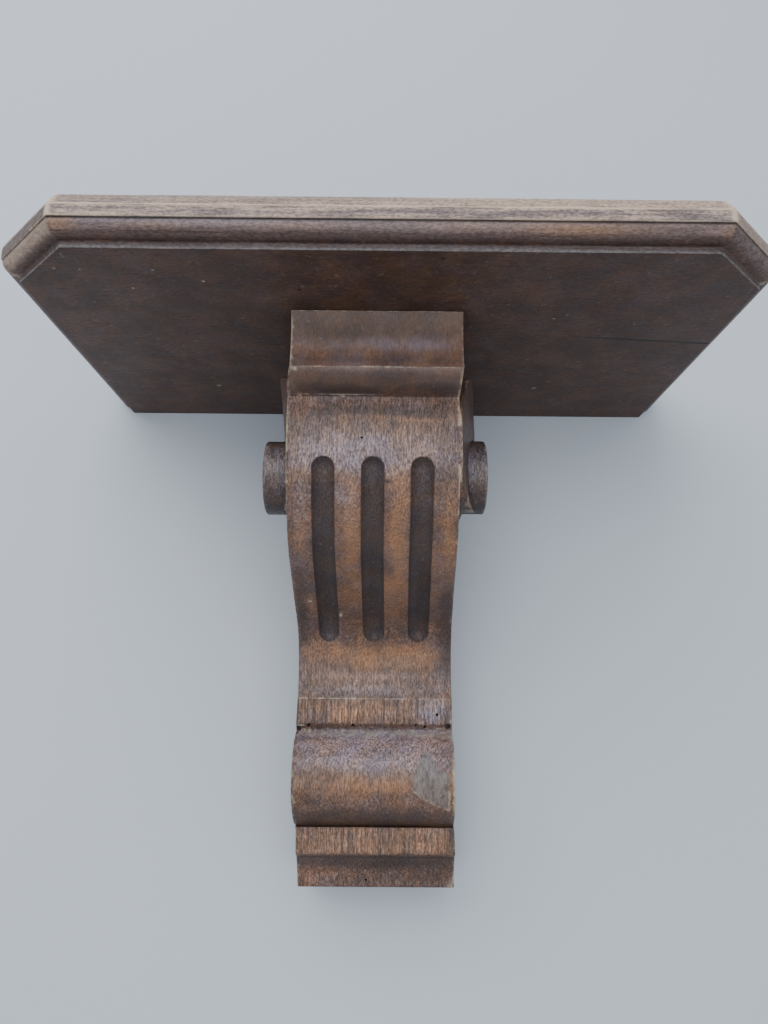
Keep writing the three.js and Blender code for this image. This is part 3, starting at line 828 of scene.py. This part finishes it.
def paintCorbel(piece):
    # Worn, dirty and coloured places, among them painted light, shade, sheen and a painted blue of sky
    # reflection, each worked out from where a vertex is.
    c = corbel
    p = vertexPoints(piece.data) / mm
    x, depth, z = p[:, 0], -p[:, 1], p[:, 2]
    half = c["width"] / 2
    line = corbelOutline()[0] + np.array([0, boardLevel])
    behind = np.interp(-z, -line[:, 1], line[:, 0]) - depth
    onFront = smoothStep(9, 6, behind) * (np.abs(x) < half + 0.3)
    wide = p * np.array([0.35, 1, 1])
    ragged = x + 3 * roughNoise(p, 9, 51), z + 1.8 * roughNoise(wide, 8, 61)
    flat = np.stack([depth, z], 1)
    wearAndLight = 0.65 * nearness(flat, patinaAndLight["capArris"], 0.4)
    wearAndLight = np.maximum(wearAndLight, 0.4 * nearness(flat, [line[0]], 0.5))
    wearAndLight = np.maximum(wearAndLight, 0.6 * nearness(flat, patinaAndLight["neckArris"], 0.4))
    # A pale line along the crevice under the cap: dust there, and a painted highlight on the scroll's top
    # arris.
    capFoot = nearness(flat, patinaAndLight["capFoot"], 0.8) * blots(x, z, patinaAndLight["topLine"])
    wearAndLight = np.maximum(wearAndLight, 0.9 * capFoot) * onFront
    edge = half - np.abs((x - settled(0 * x, z)) / (settled(half, z) - settled(0 * x, z)) * half)
    bareEdge = 0.25 + np.where(x > 0, blots(x, z, patinaAndLight["rightEdge"]), blots(x, z, patinaAndLight["leftEdge"]))
    wearAndLight = np.maximum(wearAndLight, bareEdge * np.exp(-((edge / 1.0) ** 2)) * smoothStep(4, 1.5, behind))
    frontRadius, growth = cheekSpiral()
    middle = bossMiddle() + np.array([0, boardLevel])
    around = flat - middle
    angle, radius = np.arctan2(around[:, 1], around[:, 0]), np.hypot(*around.T)
    rim = np.abs(radius - frontRadius * np.exp(growth * np.minimum(angle, math.pi / 2)))
    wearAndLight = np.maximum(wearAndLight, 0.45 * np.exp(-((rim / 1.0) ** 2)) * (np.abs(x) > half + 4) * (angle > -1.5))
    wearAndLight = np.maximum(wearAndLight, blots(x, z, patinaAndLight["bare"]) * onFront)
    # Painted light along the groove over the torus.
    wearAndLight = np.maximum(wearAndLight, 0.5 * blots(x, z, patinaAndLight["grooveLight"]) * onFront)
    # The flutes are darkened inside; the creases under the torus and at the plinth's step get painted shade.
    inFlute = smoothStep(0.35, 1.5, behind) * (np.abs(x) < 38) * (z > -22) * (z < 90) * (behind < 12)
    dirtAndShade = np.maximum(inFlute, nearness(flat, patinaAndLight["hollows"], 1.4) * (behind < 12))
    dirtAndShade = np.maximum(dirtAndShade, blots(x, z, patinaAndLight["grime"]) * onFront)
    # Painted shade inside each worm hole, where the wear is taken off.
    for middle, level, radius, hole in wormHoles:
        inHole = np.hypot(x - middle, z - level) < radius + 0.15
        inHole = inHole * smoothStep(0.2, 0.8, behind) * (behind < hole + 3)
        dirtAndShade, wearAndLight = np.maximum(dirtAndShade, inHole), wearAndLight * (1 - inHole)
    paint(piece.data, "dirtAndShade", dirtAndShade)
    # Of these masks, warm is the wood's own colour; the next is painted sheen, dark is mostly painted shade,
    # and the last a painted blue of sky reflection.
    for name in ("warm", "bloom", "dark", "cool"):
        values = blots(*ragged, patinaAndLight[name]) * onFront * (1 - 0.7 * inFlute)
        if name == "dark":  # the sides and the back are darker than the front, and the right side darker still as painted shade
            values = np.maximum(values, (0.4 + 0.25 * (x > 0)) * (1 - onFront))
        paint(piece.data, name, values)
    paint(piece.data, "calm", np.maximum(smoothStep(116, 124, z), blots(x, z, patinaAndLight["calm"])) * onFront)
    paint(piece.data, "lined", onFront * ((z < -51.6) * (z > -66.8) + 0.9 * (z < -128.3) * (z > -143.6)))
    ragged = x + latticeNoise(p, 2.5, 71), z
    inFlake = bareOf(*ragged, 0.7) * onFront
    paint(piece.data, "flake", inFlake)
    rim = 4 * inFlake * (1 - inFlake) * smoothStep(-98, -106, z)
    paint(piece.data, "wearAndLight", np.maximum(wearAndLight, 0.75 * rim))


def addNode(tree, kind, inputs=None, **settings):
    # Inputs are given by name or number, each as a value or as the socket that leads to it.
    node = tree.nodes.new(kind)
    for name, value in settings.items():
        setattr(node, name, value)
    for name, value in (inputs or {}).items():
        if isinstance(value, bpy.types.NodeSocket):
            tree.links.new(value, node.inputs[name])
        else:
            node.inputs[name].default_value = value
    return node


def colour(red, green, blue):  # with the alpha that a colour socket wants
    return (red, green, blue, 1)


def mixed(tree, factor, first, second, blend="MIX"):
    inputs = {0: factor, 6: first, 7: second}
    return addNode(tree, "ShaderNodeMix", inputs, data_type="RGBA", blend_type=blend).outputs[2]


def computed(tree, operation, first, second=0.5, clamp=False):
    inputs = {0: first, 1: second}
    return addNode(tree, "ShaderNodeMath", inputs, operation=operation, use_clamp=clamp).outputs[0]


def remapped(tree, value, low, high, newLow=0.0, newHigh=1.0):
    inputs = {"Value": value, "From Min": low, "From Max": high, "To Min": newLow, "To Max": newHigh}
    return addNode(tree, "ShaderNodeMapRange", inputs, interpolation_type="SMOOTHSTEP").outputs[0]


def vectorMath(tree, operation, first, second, output="Vector"):  # the output "Value" for a number
    return addNode(tree, "ShaderNodeVectorMath", {0: first, 1: second}, operation=operation).outputs[output]


def noise(tree, vector, scale, detail, roughness, distortion=0.0):
    inputs = {"Vector": vector, "Scale": scale, "Detail": detail, "Roughness": roughness}
    return addNode(tree, "ShaderNodeTexNoise", {**inputs, "Distortion": distortion}).outputs["Fac"]


def newGroup(name, inputs, outputs):
    group = bpy.data.node_groups.new(name, "ShaderNodeTree")
    for label, kind, value in inputs:
        socket = group.interface.new_socket(label, in_out="INPUT", socket_type="NodeSocket" + kind)
        if value is not None:
            socket.default_value = value
    for label, kind in outputs:
        group.interface.new_socket(label, in_out="OUTPUT", socket_type="NodeSocket" + kind)
    return group, group.nodes.new("NodeGroupInput"), group.nodes.new("NodeGroupOutput")


def makeFibreGroup():
    # Wood fibre along Z of the vector it is given: streaks, pores and broad figure, all 0 to 1, and
    # a fine speckle that the colour is multiplied by.
    settings = (("Streak Scale", 300), ("Streak Squeeze", 0.05), ("Pore Scale", 900), ("Figure Scale", 40))
    group, start, end = newGroup(
        "woodFibre",
        [("Vector", "Vector", None)] + [(name, "Float", value) for name, value in settings],
        [(name, "Float") for name in ("Streaks", "Pores", "Figure", "Speckle")],
    )
    o = start.outputs

    def squeezed(amount):
        lengthwise = addNode(group, "ShaderNodeCombineXYZ", {0: 1, 1: 1, 2: amount}).outputs[0]
        return vectorMath(group, "MULTIPLY", o["Vector"], lengthwise)

    streaks = noise(group, squeezed(o["Streak Squeeze"]), o["Streak Scale"], 4, 0.62)
    pores = noise(group, squeezed(0.13), o["Pore Scale"], 2, 0.5)
    figure = noise(group, squeezed(0.16), o["Figure Scale"], 4, 0.6, 0.4)
    speckle = noise(group, squeezed(0.4), computed(group, "MULTIPLY", o["Pore Scale"], 0.9), 3, 0.75)
    ranges = {"Streaks": (streaks, 0.36, 0.62), "Pores": (pores, 0.51, 0.62), "Figure": (figure, 0.3, 0.7),
              "Speckle": (speckle, 0.34, 0.66, 0.52, 1.48)}  # from low and high, and to low and high
    for name, settings in ranges.items():
        group.links.new(remapped(group, *settings), end.inputs[name])
    return group


def makeFinishAndLightGroup():
    # Lays the old finish and painted light over the wood: dark places, mostly painted shade, warm
    # places, painted sheen, worn arrises with some painted light, and dirt with painted shade, each
    # with an edge that the fibre and a fine noise break up.
    colours = [("Base", "Color", colour(0.1, 0.06, 0.04)), ("Deep", "Color", colour(0.03, 0.02, 0.015)),
               ("Warm", "Color", colour(0.2, 0.1, 0.05)), ("Bloom", "Color", colour(0.2, 0.16, 0.15)),
               ("Bare", "Color", colour(0.4, 0.3, 0.2)), ("Grime", "Color", colour(0.02, 0.015, 0.012))]
    names = ("Dark And Shade Place", "Warm Place", "Bloom Place", "Worn And Lit", "Dirt And Shade", "Streaks", "Pores", "Figure")
    places = [(name, "Float", 0.0) for name in names]
    strengths = [("Speckle", "Float", 1.0), ("Streak Depth", "Float", 0.6), ("Mottle", "Float", 0.35)]
    group, start, end = newGroup("finishAndLightGroup", [("Vector", "Vector", None)] + colours + places + strengths,
                                 [("Color", "Color"), ("Roughness", "Float"), ("Height", "Float")])
    o = start.outputs

    crumb = noise(group, o["Vector"], 260, 5, 0.65)
    cloud = noise(group, o["Vector"], 45, 5, 0.6)
    hue = noise(group, o["Vector"], 85, 3, 0.6)

    def broken(mask, amount):
        shift = computed(group, "MULTIPLY", computed(group, "SUBTRACT", crumb, 0.5), amount)
        return remapped(group, computed(group, "ADD", mask, shift), 0.15, 0.85)

    def partly(mask, amount):
        return computed(group, "MULTIPLY", mask, amount)

    dark = partly(computed(group, "SUBTRACT", 1.0, o["Streaks"]), o["Streak Depth"])
    base = mixed(group, dark, o["Base"], o["Deep"])
    base = mixed(group, partly(o["Figure"], o["Mottle"]), base, o["Warm"])
    gloomy = partly(remapped(group, cloud, 0.62, 0.36), o["Mottle"])
    base = mixed(group, gloomy, base, o["Deep"])
    warmed = mixed(group, computed(group, "ADD", partly(o["Streaks"], 0.45), 0.55), base, o["Warm"])
    tone = mixed(group, broken(o["Warm Place"], 0.6), base, warmed)
    sheened = mixed(group, computed(group, "ADD", partly(o["Streaks"], 0.5), 0.4), tone, o["Bloom"])
    tone = mixed(group, partly(broken(o["Bloom Place"], 0.7), 0.9), tone, sheened)
    tone = mixed(group, partly(broken(o["Dark And Shade Place"], 0.8), 0.8), tone, o["Deep"])
    tone = mixed(group, partly(broken(o["Dirt And Shade"], 0.5), 0.9), tone, o["Grime"])
    tone = mixed(group, partly(o["Pores"], 0.62), tone, o["Deep"])
    tone = mixed(group, 1.0, tone, remapped(group, cloud, 0.35, 0.7, 0.86, 1.14), "MULTIPLY")
    tint = mixed(group, remapped(group, hue, 0.35, 0.65), colour(0.92, 0.96, 1.12), colour(1.10, 1.0, 0.89))
    tone = mixed(group, 1.0, tone, tint, "MULTIPLY")
    tone = mixed(group, 1.0, tone, o["Speckle"], "MULTIPLY")
    tone = mixed(group, partly(broken(o["Worn And Lit"], 1.6), 0.85), tone, o["Bare"])
    group.links.new(tone, end.inputs["Color"])
    rough = computed(group, "ADD", partly(o["Streaks"], 0.12), 0.38)
    rough = computed(group, "ADD", rough, partly(o["Worn And Lit"], 0.15))
    rough = computed(group, "ADD", rough, partly(o["Dirt And Shade"], 0.3))
    group.links.new(rough, end.inputs["Roughness"])
    height = computed(group, "SUBTRACT", partly(o["Streaks"], 0.4), partly(o["Pores"], 0.6))
    height = computed(group, "ADD", height, partly(crumb, 0.5))
    height = computed(group, "ADD", height, partly(o["Speckle"], 0.3))
    group.links.new(height, end.inputs["Height"])
    return group


woodFibre = makeFibreGroup()
finishAndLightGroup = makeFinishAndLightGroup()


def startMaterial(name):
    material = bpy.data.materials.new(name)
    material.use_nodes = True
    tree = material.node_tree
    tree.nodes.clear()
    return material, tree


def placed(tree, name):  # what was painted on the vertices under this name
    return addNode(tree, "ShaderNodeAttribute", attribute_name=name).outputs["Fac"]


def setInputs(node, look, labels):
    # Each socket gets the look's value of the same name, such as streakScale for Streak Scale.
    for label in labels:
        value = look[label[0].lower() + label[1:].replace(" ", "")]
        node.inputs[label].default_value = colour(*value) if isinstance(value, tuple) else value


def woodMaterial(name, look, alongX, painted, extra=None):
    # Fibre and finish, with painted light and shade, on the piece's own coordinates. The fibre runs
    # along Z, or along X where the coordinates are turned to suit. Painted gives the attribute that
    # each mask reads.
    material, tree = startMaterial(name)
    place = addNode(tree, "ShaderNodeTexCoord").outputs["Object"]
    if alongX:
        turned = {"Vector": place, "Rotation": (0.0, math.radians(90), 0.02)}
        place = addNode(tree, "ShaderNodeMapping", turned).outputs[0]
    warp = addNode(tree, "ShaderNodeTexNoise", {"Vector": place, "Scale": 14, "Detail": 2}).outputs["Color"]
    shift = vectorMath(tree, "MULTIPLY", warp, (look["warp"], look["warp"], 0))
    vector = vectorMath(tree, "ADD", place, shift)
    fibre = addNode(tree, "ShaderNodeGroup", node_tree=woodFibre)
    setInputs(fibre, look, ("Streak Scale", "Streak Squeeze", "Pore Scale", "Figure Scale"))
    tree.links.new(vector, fibre.inputs["Vector"])
    finishAndLightNode = addNode(tree, "ShaderNodeGroup", node_tree=finishAndLightGroup)
    tree.links.new(place, finishAndLightNode.inputs["Vector"])
    tree.links.new(fibre.outputs["Figure"], finishAndLightNode.inputs["Figure"])
    calm = computed(tree, "MULTIPLY", placed(tree, "calm"), 0.7)
    for label, still in (("Streaks", 0.6), ("Pores", 0.0), ("Speckle", 1.0)):
        values = {0: calm, 2: fibre.outputs[label], 3: still}
        quieter = addNode(tree, "ShaderNodeMix", values, data_type="FLOAT")
        tree.links.new(quieter.outputs[0], finishAndLightNode.inputs[label])
    setInputs(finishAndLightNode, look, ("Streak Depth", "Mottle", "Base", "Deep", "Warm", "Bloom", "Bare", "Grime"))
    for label, source in painted.items():
        tree.links.new(placed(tree, source), finishAndLightNode.inputs[label])
    tone = finishAndLightNode.outputs["Color"]
    if extra:
        tone = extra(tree, tone, fibre, place)
    # A painted blue of the sky's reflection, where that mask is painted.
    skyTinted = mixed(tree, 1.0, tone, colour(0.88, 1.0, 1.22), "MULTIPLY")
    tone = mixed(tree, placed(tree, "cool"), tone, skyTinted)
    relief = {"Height": finishAndLightNode.outputs["Height"], "Distance": 0.4 * mm, "Strength": look["relief"]}
    bump = addNode(tree, "ShaderNodeBump", relief)
    shader = addNode(tree, "ShaderNodeBsdfPrincipled")
    shader.inputs["Coat Weight"].default_value = look["varnish"]
    shader.inputs["Coat Roughness"].default_value = 0.32
    shader.inputs["Specular IOR Level"].default_value = look["gloss"]
    tree.links.new(tone, shader.inputs["Base Color"])
    tree.links.new(finishAndLightNode.outputs["Roughness"], shader.inputs["Roughness"])
    tree.links.new(bump.outputs[0], shader.inputs["Normal"])
    out = addNode(tree, "ShaderNodeOutputMaterial")
    tree.links.new(shader.outputs[0], out.inputs[0])
    return material


shelfLook = {
    "base": (0.094, 0.053, 0.038),
    "deep": (0.048, 0.029, 0.022),
    "warm": (0.105, 0.059, 0.042),
    "bloom": (0.30, 0.245, 0.215),
    "bare": (0.60, 0.48, 0.34),
    "grime": (0.014, 0.010, 0.009),
    "bandTone": (0.42, 0.305, 0.235),
    "bandShade": (0.17, 0.128, 0.118),
    "ovoloTone": (0.215, 0.158, 0.145),
    "ovoloShade": (0.072, 0.046, 0.040),
    "rubbedTone": (0.255, 0.150, 0.098),
    "filletTone": (0.15, 0.130, 0.124),
    "streakScale": 330,
    "streakSqueeze": 0.12,
    "poreScale": 1100,
    "figureScale": 26,
    "warp": 0.004,
    "streakDepth": 0.5,
    "mottle": 0.24,
    "relief": 0.35,
    "varnish": 0.03,
    "gloss": 0.14,
}
shelfMarks = {  # across and depth on the underside, in the shared frame
    "specks": ((-133, -197, 1.3, 0.5), (-117, -216, 1.2, 0.4), (-93, -205, 1.6, 0.5), (-155, -216, 1.0, 0.5),
               (-168, -217, 1.4, 0.35), (-82, -113, 0.8, 0.5), (-123, -125, 1.0, 0.4), (-137, -134, 0.8, 0.4),
               (103, -166, 1.2, 0.4), (152, -160, 1.0, 0.35), (-114, -58.5, 2.6, 0.45), (112, -59, 2.6, 0.4)),
    "pits": ((-42.5, -197, 1.9, 1.0), (33.2, -229.7, 1.7, 1.0)),
    "crack": ((106.7, -144), (206, -134.8)),
    "crackWidth": 1.4,
    "crackFade": 45,  # how long it takes to reach its full depth of colour
}
corbelLook = {
    "base": (0.20, 0.118, 0.086),
    "deep": (0.046, 0.027, 0.021),
    "warm": (0.31, 0.155, 0.074),
    "bloom": (0.375, 0.275, 0.26),
    "bare": (0.52, 0.42, 0.29),
    "grime": (0.052, 0.038, 0.036),
    "flakeTone": (0.21, 0.172, 0.150),
    "flakeShade": (0.07, 0.055, 0.048),
    "streakScale": 620,
    "streakSqueeze": 0.05,
    "poreScale": 1350,
    "figureScale": 40,
    "warp": 0.004,
    "streakDepth": 0.7,
    "mottle": 0.25,
    "relief": 0.8,
    "varnish": 0.2,
    "gloss": 0.4,
}
bossLook = {
    "base": (0.11, 0.074, 0.063),
    "deep": (0.036, 0.024, 0.020),
    "warm": (0.13, 0.07, 0.045),
    "bloom": (0.22, 0.17, 0.165),
    "bare": (0.34, 0.28, 0.22),
    "grime": (0.02, 0.015, 0.013),
    "streakScale": 560,
    "streakSqueeze": 0.08,
    "poreScale": 1350,
    "figureScale": 40,
    "warp": 0.004,
    "streakDepth": 0.6,
    "mottle": 0.35,
    "relief": 0.8,
    "varnish": 0.2,
    "gloss": 0.4,
}


def shelfMouldings(tree, tone, fibre, place):
    # The edge over the underside's wood: the fillet, the ovolo and the band each go from a shade to
    # a pale tone after the paleness mask, which holds their own paleness and painted light and shade.
    # One lengthwise noise tears it into dashes on the front band, and a longer and weaker one draws
    # streaks in it elsewhere.
    dashes = noise(tree, vectorMath(tree, "MULTIPLY", place, (1, 1, 0.09)), 460, 5, 0.62)
    torn = computed(tree, "MULTIPLY", computed(tree, "SUBTRACT", dashes, 0.5), 3.6)
    ragged = remapped(tree, computed(tree, "ADD", placed(tree, "paleAndLit"), torn), 0.0, 1.0)
    streaks = noise(tree, vectorMath(tree, "MULTIPLY", place, (1, 1, 0.03)), 420, 3, 0.55)
    streaks = computed(tree, "MULTIPLY", computed(tree, "SUBTRACT", streaks, 0.5), 1.4)
    streaks = computed(tree, "ADD", streaks, computed(tree, "MULTIPLY", torn, 0.1))
    even = computed(tree, "ADD", placed(tree, "paleAndLit"), streaks, clamp=True)
    ragged = mixed(tree, placed(tree, "ragged"), even, ragged)
    mouldings = (("fillet", "ovoloShade", "filletTone"), ("ovolo", "ovoloShade", "ovoloTone"),
                 ("band", "bandShade", "bandTone"))
    for name, shade, light in mouldings:
        light = colour(*shelfLook[light])
        if name == "ovolo":
            light = mixed(tree, placed(tree, "warm"), light, colour(*shelfLook["rubbedTone"]))
        wood = mixed(tree, ragged if name == "band" else even, colour(*shelfLook[shade]), light)
        wood = mixed(tree, 0.8 if name == "band" else 0.65, wood, fibre.outputs["Speckle"], "MULTIPLY")
        tone = mixed(tree, computed(tree, "MULTIPLY", placed(tree, name), 0.95), tone, wood)
    # Bare wood where worn, and painted light on the left cut's ovolo, from the wear mask.
    worn = computed(tree, "ADD", placed(tree, "wearAndLight"), computed(tree, "MULTIPLY", torn, 0.2))
    worn = computed(tree, "MULTIPLY", remapped(tree, worn, 0.1, 0.9), 0.8)
    tone = mixed(tree, worn, tone, colour(*shelfLook["bare"]))
    # Painted shade in the quirk and the cove, in the grime colour.
    dirtAndShade = computed(tree, "MULTIPLY", placed(tree, "dirtAndShade"), 0.9)
    tone = mixed(tree, dirtAndShade, tone, colour(*shelfLook["grime"]))
    return underneath(tree, tone)


def underneath(tree, tone):
    # Small pale knocks and dark pits, each fading with the distance from its middle, and the crack,
    # which is dark near the line between its ends and starts faintly.
    level = shelf["underside"]
    spot = addNode(tree, "ShaderNodeTexCoord").outputs["Object"]
    for marks, shade in (("specks", "bare"), ("pits", "grime")):
        knocks = None
        for x, y, radius, strength in shelfMarks[marks]:
            middle = (x * mm, y * mm, level * mm)
            apart = vectorMath(tree, "DISTANCE", spot, middle, "Value")
            knock = remapped(tree, apart, radius * mm, 0.0, 0.0, strength)
            knocks = knock if knocks is None else computed(tree, "MAXIMUM", knocks, knock)
        tone = mixed(tree, knocks, tone, colour(*shelfLook[shade]))
    (x, y), (endX, endY) = shelfMarks["crack"]
    length = math.hypot(endX - x, endY - y)
    way = ((endX - x) / length, (endY - y) / length, 0)
    apart = vectorMath(tree, "SUBTRACT", spot, (x * mm, y * mm, level * mm))
    along = vectorMath(tree, "DOT_PRODUCT", apart, way, "Value")
    off = computed(tree, "ABSOLUTE", vectorMath(tree, "DOT_PRODUCT", apart, (way[1], -way[0], 1), "Value"))
    crack = remapped(tree, off, shelfMarks["crackWidth"] * mm, 0.5 * mm, 0.0, 0.95)
    crack = computed(tree, "MULTIPLY", crack, remapped(tree, along, 0.0, shelfMarks["crackFade"] * mm))
    height = addNode(tree, "ShaderNodeSeparateXYZ", {0: spot}).outputs["Z"]
    crack = computed(tree, "MULTIPLY", crack, computed(tree, "LESS_THAN", height, (level + 0.5) * mm))
    return mixed(tree, crack, tone, colour(*shelfLook["grime"]))


def corbelMarks(tree, tone, fibre, place):  # called as shelfMouldings is, and needs no fibre
    # The two flat fillets have fine dark lines down them. The patch on the torus shows scratched,
    # paler wood.
    lines = noise(tree, vectorMath(tree, "MULTIPLY", place, (1, 1, 0.03)), 1050, 3, 0.6)
    lined = mixed(tree, 1.0, tone, remapped(tree, lines, 0.4, 0.56, 0.56, 1.26), "MULTIPLY")
    tone = mixed(tree, placed(tree, "lined"), tone, lined)
    slanted = {"Vector": place, "Rotation": (0, 0.7, 0), "Scale": (1, 1, 0.35)}
    scratches = noise(tree, addNode(tree, "ShaderNodeMapping", slanted).outputs[0], 420, 6, 0.8)
    scratches = remapped(tree, scratches, 0.36, 0.58)
    wood = mixed(tree, scratches, colour(*corbelLook["flakeShade"]), colour(*corbelLook["flakeTone"]))
    return mixed(tree, computed(tree, "MULTIPLY", placed(tree, "flake"), 0.85), tone, wood)


shelfWood = woodMaterial("shelfWood", shelfLook, True, {"Worn And Lit": "wearAndLight", "Dirt And Shade": "dirtAndShade"}, shelfMouldings)
finishAndLightMasks = {"Worn And Lit": "wearAndLight", "Dirt And Shade": "dirtAndShade", "Warm Place": "warm", "Bloom Place": "bloom",
               "Dark And Shade Place": "dark"}
corbelWood = woodMaterial("corbelWood", corbelLook, False, finishAndLightMasks, corbelMarks)
bossWood = woodMaterial("bossWood", bossLook, False, finishAndLightMasks)
print("materials ready")

shelfPiece = buildShelf()
paintShelf(shelfPiece)
shelfPiece.data.materials.append(shelfWood)
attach(shelfPiece, "root")
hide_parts("shelf_board")

corbelPiece = buildCorbel()
for side in (-1, 1):
    combine(corbelPiece, buildCheek(side), "UNION")
for side in (-1, 1):
    foot, depth, level = bossFoot(side)
    ends = [(foot + reach * side, -depth, level) for reach in (0, boss["clearance"])]
    combine(corbelPiece, roundBar(boss["radius"] + boss["gap"], *ends, 96), "DIFFERENCE")
outline = corbelOutline()[0] + np.array([0, boardLevel])
for x, z, radius, hole in wormHoles:
    front = -np.interp(-z, -outline[:, 1], outline[:, 0])
    combine(corbelPiece, roundBar(radius, (x, front - 3, z), (x, front + hole, z), 14), "DIFFERENCE")
corbelPiece.name = corbelPiece.data.name = "corbelBody"
finishMesh(corbelPiece.data, 32)
paintCorbel(corbelPiece)
corbelPiece.data.materials.clear()
corbelPiece.data.materials.append(corbelWood)
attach(corbelPiece, "root")
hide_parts("corbel")
print("corbel joined:", len(corbelPiece.data.vertices), "vertices")

for side, node in ((-1, "boss_left"), (1, "boss_right")):
    bossPiece = buildBoss(side)
    bossPiece.data.materials.append(bossWood)
    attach(bossPiece, "root")
    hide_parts(node)
print("bosses ready")

studio = {
    "floor": (0.57, 0.61, 0.66),
    "floorSize": 2500,
    "floorGap": 0.6,
    "sky": (0.80, 0.89, 1.0),
    "skyStrength": 0.64,
    "lightTint": (0.97, 0.98, 1.0),
    "keyPower": 18,
    "keyPlace": (-0.45, -1.25, 0.95),
    "keySize": 1.5,
    "fillPower": 14,
    "fillPlace": (0.1, -1.7, 0.05),
    "fillSize": 1.6,
    "cameraPlace": (0.00324, -0.5844, -0.04625),
    "cameraPitch": 12.91,
    "cameraYaw": 0.20,
    "cameraRoll": 0.451,
    "lens": 27.42,
}


def buildFloor():
    # The pale ground that the bracket lies on with its back: a flat square. It is see-through from
    # behind, so that the back can be looked at.
    size, gap = studio["floorSize"], studio["floorGap"]
    corners = [(-size, gap, -size), (size, gap, -size), (size, gap, size), (-size, gap, size)]
    mesh = bpy.data.meshes.new("floor")
    mesh.from_pydata([tuple(value * mm for value in corner) for corner in corners], [], [(0, 1, 2, 3)])
    piece = newObject("floor", mesh)
    material, tree = startMaterial("paleFloor")
    matt = addNode(tree, "ShaderNodeBsdfPrincipled")
    matt.inputs["Base Color"].default_value = colour(*studio["floor"])
    matt.inputs["Roughness"].default_value = 0.8
    clear = addNode(tree, "ShaderNodeBsdfTransparent")
    side = addNode(tree, "ShaderNodeNewGeometry").outputs["Backfacing"]
    either = addNode(tree, "ShaderNodeMixShader", {0: side, 1: matt.outputs[0], 2: clear.outputs[0]})
    out = addNode(tree, "ShaderNodeOutputMaterial")
    tree.links.new(either.outputs[0], out.inputs[0])
    mesh.materials.append(material)


def buildLight(name, place, size, power):
    light = bpy.data.lights.new(name, "AREA")
    light.shape = "SQUARE"
    light.size, light.energy, light.color = size, power, studio["lightTint"]
    lamp = newObject(name, light)
    place = Vector(place)
    towards = (Vector((0, -0.08, 0.02)) - place).to_track_quat("-Z", "Y")
    lamp.matrix_world = Matrix.Translation(place) @ towards.to_matrix().to_4x4()


buildFloor()
buildLight("keyLight", studio["keyPlace"], studio["keySize"], studio["keyPower"])
buildLight("fillLight", studio["fillPlace"], studio["fillSize"], studio["fillPower"])

world = bpy.data.worlds.new("paleSky")
world.use_nodes = True
sky = world.node_tree.nodes["Background"]
sky.inputs["Color"].default_value = colour(*studio["sky"])
sky.inputs["Strength"].default_value = studio["skyStrength"]
bpy.context.scene.world = world

lens = bpy.data.cameras.new("camera")
lens.sensor_width = 36
lens.lens = studio["lens"]
lens.clip_start = 0.02
camera = newObject("camera", lens)
aim = Matrix.Rotation(math.radians(-studio["cameraYaw"]), 4, "Z")
aim = aim @ Matrix.Rotation(math.radians(90 + studio["cameraPitch"]), 4, "X")
aim = aim @ Matrix.Rotation(math.radians(studio["cameraRoll"]), 4, "Z")
camera.matrix_world = Matrix.Translation(studio["cameraPlace"]) @ aim
bpy.context.scene.camera = camera
print("stage, lights and camera ready")
